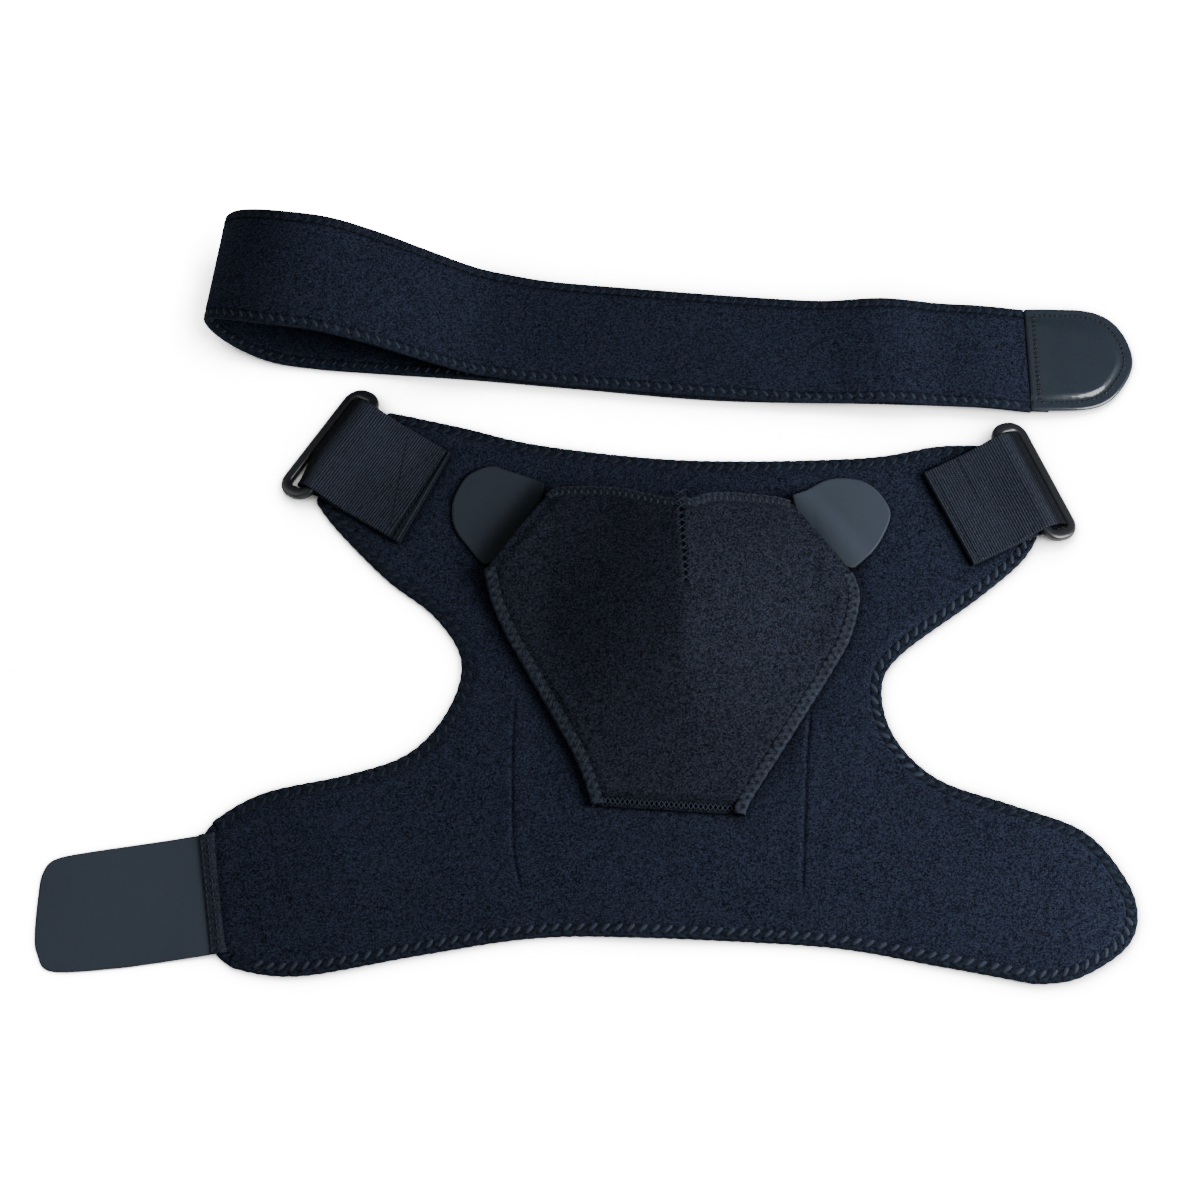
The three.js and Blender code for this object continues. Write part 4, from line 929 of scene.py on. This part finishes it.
strapSet = dict(span=484, width=61, thick=3.2, middle=(4, 201), loopHigh=56, step=0.8, tapeFold=5.0)
strapSeam = dict(pitch=5.4, inner=5.2, outer=1.7, lean=2.6, valley=0.7, dip=0.4, threadWidth=1.9, hole=0.8,
                 wedgeShade=0.6)
strapRows = [  # along, across, height, slant, tilt
    (0.384, -0.04, 0.062, 0, 0), (0.339, -0.037, 0.097, 0, 0), (0.293, -0.034, 0.097, 0, 0),
    (0.231, -0.032, 0.155, 0, 1), (0.169, -0.031, 0.099, 0, 0), (0.112, -0.028, 0.096, 1, 0),
    (-0.033, -0.016, 0.096, 4, 0), (-0.136, -0.006, 0.1, 4, 0), (-0.178, -0.001, 0.13, 3, 2),
    (-0.211, 0.002, 0.19, 3, 4), (-0.264, 0.006, 0.42, 3, 8), (-0.316, 0.01, 0.66, 4, 11),
    (-0.368, 0.014, 0.84, 6, 13), (-0.413, 0.019, 0.87, 7, 13), (-0.453, 0.031, 0.76, 8, 11),
    (-0.477, 0.043, 0.58, 8, 7), (-0.486, 0.049, 0.4, 8, 3), (-0.478, 0.045, 0.23, 8, 0),
    (-0.454, 0.034, 0.115, 8, 0), (-0.42, 0.022, 0.054, 7, 0), (-0.374, 0.015, 0.032, 5, 0),
    (-0.304, 0.009, 0.0292, 4, 0), (-0.211, 0.002, 0.0292, 4, 0), (-0.099, -0.009, 0.0292, 4, 0),
    (0.054, -0.0235, 0.0292, 3, 0), (0.219, -0.0275, 0.0292, 1, 0), (0.331, -0.0313, 0.0292, 0, 0),
]


def centripetal(points, steps):  # smooth run through unevenly spaced points
    first, last = 2 * points[0] - points[1], 2 * points[-1] - points[-2]
    padded = np.vstack([first, points, last])
    parts = []
    for i in range(len(points) - 1):
        a, b, c, d = padded[i:i + 4]
        gaps = [float(((q - p) ** 2).sum()) ** 0.25 for p, q in ((a, b), (b, c), (c, d))]
        middle = gaps[1] if gaps[1] >= 1e-4 else 1.0
        before, after = (gap if gap >= 1e-4 else middle for gap in (gaps[0], gaps[2]))
        leave = ((b - a) / before - (c - a) / (before + middle) + (c - b) / middle) * middle
        arrive = ((c - b) / middle - (d - b) / (middle + after) + (d - c) / after) * middle
        parts.append(bend(b, c, leave, arrive, steps))
    return np.vstack(parts + [points[-1:]])


strapTable = np.array(strapRows)
strapCentre = centripetal(np.column_stack([strapSet["middle"][0] + strapTable[:, 0] * strapSet["span"],
                                           strapSet["middle"][1] + strapTable[:, 1] * strapSet["span"],
                                           strapTable[:, 2] * strapSet["loopHigh"]]), 40)
strapTurns = centripetal(strapTable[:, 3:], 40)
strapRun = resample(np.hstack([strapCentre, strapTurns / 1000]), strapSet["step"])
strapLine, strapTurn = strapRun[:, :3], np.radians(strapRun[:, 3:] * 1000)
strapAt = along(strapLine)
strapAcross = np.column_stack([np.sin(strapTurn[:, 0]), np.cos(strapTurn[:, 0]), np.sin(strapTurn[:, 1])])
strapAcross /= np.linalg.norm(strapAcross, axis=1)[:, None]
strapHeading = np.gradient(strapLine, axis=0)
strapUp = np.cross(strapAcross, strapHeading)
strapUp /= np.linalg.norm(strapUp, axis=1)[:, None]


def strapPoint(side, up):  # side and up: one number or one per frame
    side, up = np.broadcast_to(side, len(strapLine)), np.broadcast_to(up, len(strapLine))
    return strapLine + strapAcross * side[:, None] + strapUp * up[:, None]


def strapProfile(side):  # half thickness of the neoprene at a distance from the middle line
    depth = strapSet["width"] / 2 - abs(side)
    thick = strapSet["thick"] / 2
    under = thick - 0.65
    plump = 0.12 * float(np.exp(-((depth - 7.6) / 1.8) ** 2))
    return under + (thick - under) * float(eased((depth - 5.0) / 2.0)) + plump


halfStrap = strapSet["width"] / 2
rimSteps = np.array([0.7, 1.0, 2.0, 3.5, 5.0, 5.7, 6.4, 7.2, 8.4, 10.0, 12.5])
sides = np.concatenate([rimSteps - halfStrap, np.linspace(-halfStrap + 15.5, halfStrap - 15.5, 11),
                        (halfStrap - rimSteps)[::-1]])
strapSection = [(s, face * strapProfile(s) * (0.55 if abs(s) > halfStrap - 0.9 else 1), face)
                for face, row in ((1, sides), (-1, sides[::-1])) for s in row]
strapGrid = np.zeros((len(strapLine), len(strapSection), 3))
for j, (side, up, sign) in enumerate(strapSection):
    wave = 0.10 * ripple(strapAt, np.full(len(strapAt), side + sign * 7), 42, 11) * (abs(side) < halfStrap - 6)
    strapGrid[:, j] = strapPoint(side, up + sign * wave)
tongue = []  # the strap's end is skived to half its thickness and runs on under the hook tab
for distance in (9.5, 6.0, 3.0, 0.6):
    row = strapGrid[0].copy()
    row[:, 0] += distance
    row[:, 2] = np.minimum(row[:, 2], strapLine[0][2] - 0.15) - distance * 0.08
    tongue.append(row)
strapGrid = np.concatenate([np.array(tongue), strapGrid])
chestStrap = makePiece("chestStrap", *sweepRows(strapGrid), materials["loopPile"])


def strapTape(name, sign):
    fold, thick, high = strapSet["tapeFold"], 0.5, strapSet["thick"] / 2 - 0.08
    outside = [(fold, -high), (4.2, -high), (3.4, -high), (2.5, -high), (1.7, -high), (0.9, -high + 0.12),
               (0.25, -high + 0.5), (0.0, -0.4), (0.0, 0.4), (0.25, high - 0.5), (0.9, high - 0.12), (1.7, high),
               (2.5, high), (3.4, high), (4.2, high), (fold, high - 0.05)]
    inside = [(fold, high - thick), (1.2, high - thick), (0.55, 0.3), (0.55, -0.3), (1.2, thick - high),
              (fold, thick - high)]
    section = outside + inside
    rows = np.zeros((len(strapLine), len(section), 3))
    paintedShades = np.zeros((len(strapLine), len(section)))
    for j, (depth, up) in enumerate(section):
        if j < len(outside) and depth > 0.5:
            face = 1 if up > 0 else -1
            up = up + face * (0.08 - strapSeam["dip"] * pinched(strapAt, depth, strapSeam))
            # painted shade at the needle holes
            paintedShades[:, j] = 0.8 * needleHoleShade(strapAt, depth, strapSeam)
        rows[:, j] = strapPoint(sign * (halfStrap - depth), up)
    return makePiece(name, *sweepRows(rows), materials["edgeTape"], paintedShade=paintedShades)


strapBindingFront, strapBindingBack = strapTape("strapBindingFront", -1), strapTape("strapBindingBack", 1)
strapPairs = {-1: [], 1: []}
for sign in (-1, 1):
    for face in (1, -1):
        starts = np.arange(1, int(strapAt[-1] / strapSeam["pitch"])) * strapSeam["pitch"]
        spots = []
        for depth, shift in ((strapSeam["outer"], 0), (strapSeam["inner"], strapSeam["lean"])):
            index = np.clip(np.searchsorted(strapAt, starts + shift), 0, len(strapAt) - 1)
            up = (strapSet["thick"] / 2 + 0.25 - strapSeam["threadWidth"] / 2) * face
            spots.append(strapLine[index] + strapAcross[index] * sign * (halfStrap - depth) + strapUp[index] * up)
        strapPairs[sign] += list(zip(*spots))
strapStitches = sewStitches("strapStitches", strapPairs[-1], strapSeam["threadWidth"])
# the back edge's stitches take the darker thread, painted shade
strapBackStitches = sewStitches("strapBackStitches", strapPairs[1], strapSeam["threadWidth"], "shadedThread")
print("strap", round(strapAt[-1]), "mm long")


strapTabSet = dict(length=55, sheet=1.8, rest=1.2, spacing=1.2, row=4.6, pillow=1.2, middle=(212, 182),
                   tip=(235.5, 176.5))
strapTabRows = [(0, 1), (0.3, 1.01), (0.6, 1), (0.8, 0.86), (0.93, 0.58), (1, 0.2), (0.99, -0.14), (0.87, -0.54),
                (0.71, -0.82), (0.47, -0.96), (0, -1)]
tabStart = strapLine[0]
strapTabRun = runFrom(strapTabRows, strapTabSet["length"], halfStrap, (tabStart[0] + 0.35, tabStart[1]))
strapTabOutline = soften(resample(strapTabRun, 0.9, True), 2)
strapTabLine = strapTabOutline + inwardOf(strapTabOutline) * strapTabSet["row"]
tipGap = np.linalg.norm(strapTabOutline - strapTabSet["tip"], axis=1)
strapTabOutline = strapTabOutline - inwardOf(strapTabOutline) * (1.6 * np.exp(-(tipGap / 1.6) ** 2))[:, None]
tabPlan, tabFaces = sheetPlan(strapTabOutline, strapTabSet["spacing"])
tabDepthIn = distanceTo(tabPlan, strapTabOutline, True)


def tabDroop(x, y):
    start = tabStart[2] + 0.35
    return start + eased((x - tabStart[0]) / strapTabSet["length"]) * (strapTabSet["rest"] - start)


def tabRelief(depth, x, y):  # a pillow inside a flat border that the stitches rumple
    depth = np.where(x < strapTabSet["middle"][0], np.maximum(depth, 30 - np.abs(y - strapTabSet["middle"][1])), depth)
    flush = 0.25 + 0.75 * eased((x - tabStart[0]) / 24)
    away = np.array([x - strapTabSet["middle"][0], y - strapTabSet["middle"][1]]) / 30
    crisp = eased(0.35 + 0.62 * away[0] - 0.9 * away[1])  # sharp towards the lower right, soft elsewhere
    pillow = eased((depth - 6.3 + 2.2 * (1 - crisp)) / (2.3 + 9 * (1 - crisp)))
    pillow = strapTabSet["pillow"] * np.minimum(pillow, flush)
    border = eased((8.0 - depth) / 2.5) * eased((depth - 1.0) / 1.5)
    return pillow + 0.22 * border * ripple(x, y, 2.7, 21)


tabEdge = rounded(tabDepthIn, 1.2)
tabTop = tabDroop(*tabPlan.T) + strapTabSet["sheet"] * (0.4 + 0.6 * tabEdge) + tabRelief(tabDepthIn, *tabPlan.T)
tabTop = tabTop + 0.06 * ripple(tabPlan[:, 0], tabPlan[:, 1], 24, 4)
tabBottom = tabDroop(*tabPlan.T) + 0.4 * strapTabSet["sheet"] * (1 - tabEdge)
strapTab = makePiece("strapTab", *closeSheet(tabPlan, tabFaces, tabTop, tabBottom), materials["glossHook"])
tabRow = resample(strapTabLine, 0.8, True)
tabRow = tabRow[tabRow[:, 0] > tabStart[0] + 5.0]
tabJoint = np.array([(tabStart[0] + 4.6, tabStart[1] + y) for y in np.arange(-26, 26.1, 1.0)])


def tabSkin(x, y):
    depth = distanceTo(np.column_stack([x, y]), strapTabOutline, True)
    return tabDroop(x, y) + strapTabSet["sheet"] + tabRelief(depth, x, y) + 0.02


split = np.linalg.norm(np.diff(tabRow, axis=0), axis=1).argmax() + 1
tabDashes = dashesAlong(np.roll(tabRow, -split, axis=0), tabSkin, 1.5, 1.2) + dashesAlong(tabJoint, tabSkin, 1.5, 1.2)
strapTabStitches = sewStitches("strapTabStitches", tabDashes, 0.95, "tabThread")
print("strap tab")


bodyOf = {"slotRingLeft": "ring_left", "slotRingRight": "ring_right"}
topTape, rightTape, leftTape = capBindings
standsFor = {  # by slot: the solid that each piece replaces, none for the stitches
    "neoprene": {wrapPanel: "wrap_panel", capPanel: "cap_panel", chestStrap: "chest_strap"},
    "edge_tape": {wrapBinding: "wrap_binding", armStrip: "arm_tab_strip", topTape: "cap_binding_top",
                  rightTape: "cap_binding_right", leftTape: "cap_binding_left",
                  strapBindingFront: "strap_binding_front", strapBindingBack: "strap_binding_back",
                  wrapStitches: None, wrapTopStitches: None, armStitches: None, capStitches: None,
                  capRimStitches: None, strapStitches: None, strapBackStitches: None},
    "hook_sheet": {armTab: "arm_tab", capTabLeft: "cap_tab_left", capTabRight: "cap_tab_right"},
    "ring_plastic": {ringLeft: "slot_ring_left", ringRight: "slot_ring_right"},
    "webbing": {webbingLeft: "webbing_left", webbingRight: "webbing_right", webbingStitches: None},
    "gloss_hook": {strapTab: "strap_tab", strapTabStitches: None},
}
for slot, pieces in standsFor.items():
    for piece, solid in pieces.items():
        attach(piece, bodyOf.get(piece.name, "brace"))
        if solid:
            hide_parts(solid)


stageSet = dict(aim=(-0.005082, -0.004697, 0.0), elevation=65, distance=1.33333, lens=80, sensor=36, reach=4,
                tableGlow=17.0, tableColour=(0.93, 0.925, 0.915), shadowReach=0.03, shadowFrom=(0.45, 0.28, 0.85),
                shadowTint=(0.0012, 0.001, 0.0009), shadowPower=5.5, worldLight=0.08)


def softLight(name, place, aim, size, power):
    data = bpy.data.lights.new(name, "AREA")
    data.shape, data.size, data.energy = "SQUARE", size, power
    lamp = placeObject(name, data)
    lamp.location = place
    lamp.rotation_euler = (Vector(aim) - Vector(place)).to_track_quat("-Z", "Y").to_euler()


def tableMaterial():  # a white light table: seen by the camera, not lighting the cloth
    material, tree, shader = newMaterial("paleTable")
    feedAll(tree, shader, {"Base Color": stageSet["tableColour"], "Roughness": 0.75})
    # painted shadow: the glow is greyed by ambient occlusion, its hemisphere tilted by shadowFrom, so it darkens beside
    # pieces
    near = addNode(tree, "ShaderNodeAmbientOcclusion",
                   {"Distance": stageSet["shadowReach"], "Normal": stageSet["shadowFrom"]}, samples=4)
    bare = mathNode(tree, "POWER", near.outputs["AO"], stageSet["shadowPower"])
    tint = mixNode(tree, bare, stageSet["shadowTint"], (1, 1, 1))
    glow = addNode(tree, "ShaderNodeEmission", {"Color": tint, "Strength": stageSet["tableGlow"]})
    dark = addNode(tree, "ShaderNodeEmission", {"Strength": 0})
    byCamera = addNode(tree, "ShaderNodeLightPath").outputs["Is Camera Ray"]
    seen = addNode(tree, "ShaderNodeMixShader", {"Fac": byCamera, 1: dark.outputs[0], 2: glow.outputs[0]})
    both = addNode(tree, "ShaderNodeAddShader", {0: shader.outputs[0], 1: seen.outputs[0]})
    tree.links.new(both.outputs[0], tree.nodes["Material Output"].inputs["Surface"])
    return material


far = stageSet["reach"]
floorMesh = bpy.data.meshes.new("table")
floorMesh.from_pydata([(-far, -far, 0), (far, -far, 0), (far, far, 0), (-far, far, 0)], [], [(0, 1, 2, 3)])
floorMesh.materials.append(tableMaterial())
floor = placeObject("table", floorMesh)

softLight("lightRight", (0.74, -0.16, 0.46), (0.1, 0, 0), 0.55, 14.0)
softLight("lightLeft", (-0.95, 0.25, 0.6), (-0.1, 0, 0), 0.9, 3.1)
softLight("lightAbove", (0.3, 0.2, 2.2), (0, 0, 0), 1.8, 2.0)
softLight("lightFront", (-0.35, -1.0, 0.5), (-0.1, 0.1, 0), 0.7, 1.6)
world = bpy.data.worlds.new("studio")
world.use_nodes = True
feedAll(world.node_tree, world.node_tree.nodes["Background"],
        {"Color": (1, 1, 1), "Strength": stageSet["worldLight"]})
bpy.context.scene.world = world

cameraData = bpy.data.cameras.new("camera")
cameraData.lens, cameraData.sensor_width, cameraData.sensor_fit = stageSet["lens"], stageSet["sensor"], "HORIZONTAL"
camera = placeObject("camera", cameraData)
tilt, aim = radians(stageSet["elevation"]), Vector(stageSet["aim"])
camera.location = aim + Vector((0, -cos(tilt), sin(tilt))) * stageSet["distance"]
camera.rotation_euler = (aim - camera.location).to_track_quat("-Z", "Y").to_euler()
bpy.context.scene.camera = camera
print("stage set")
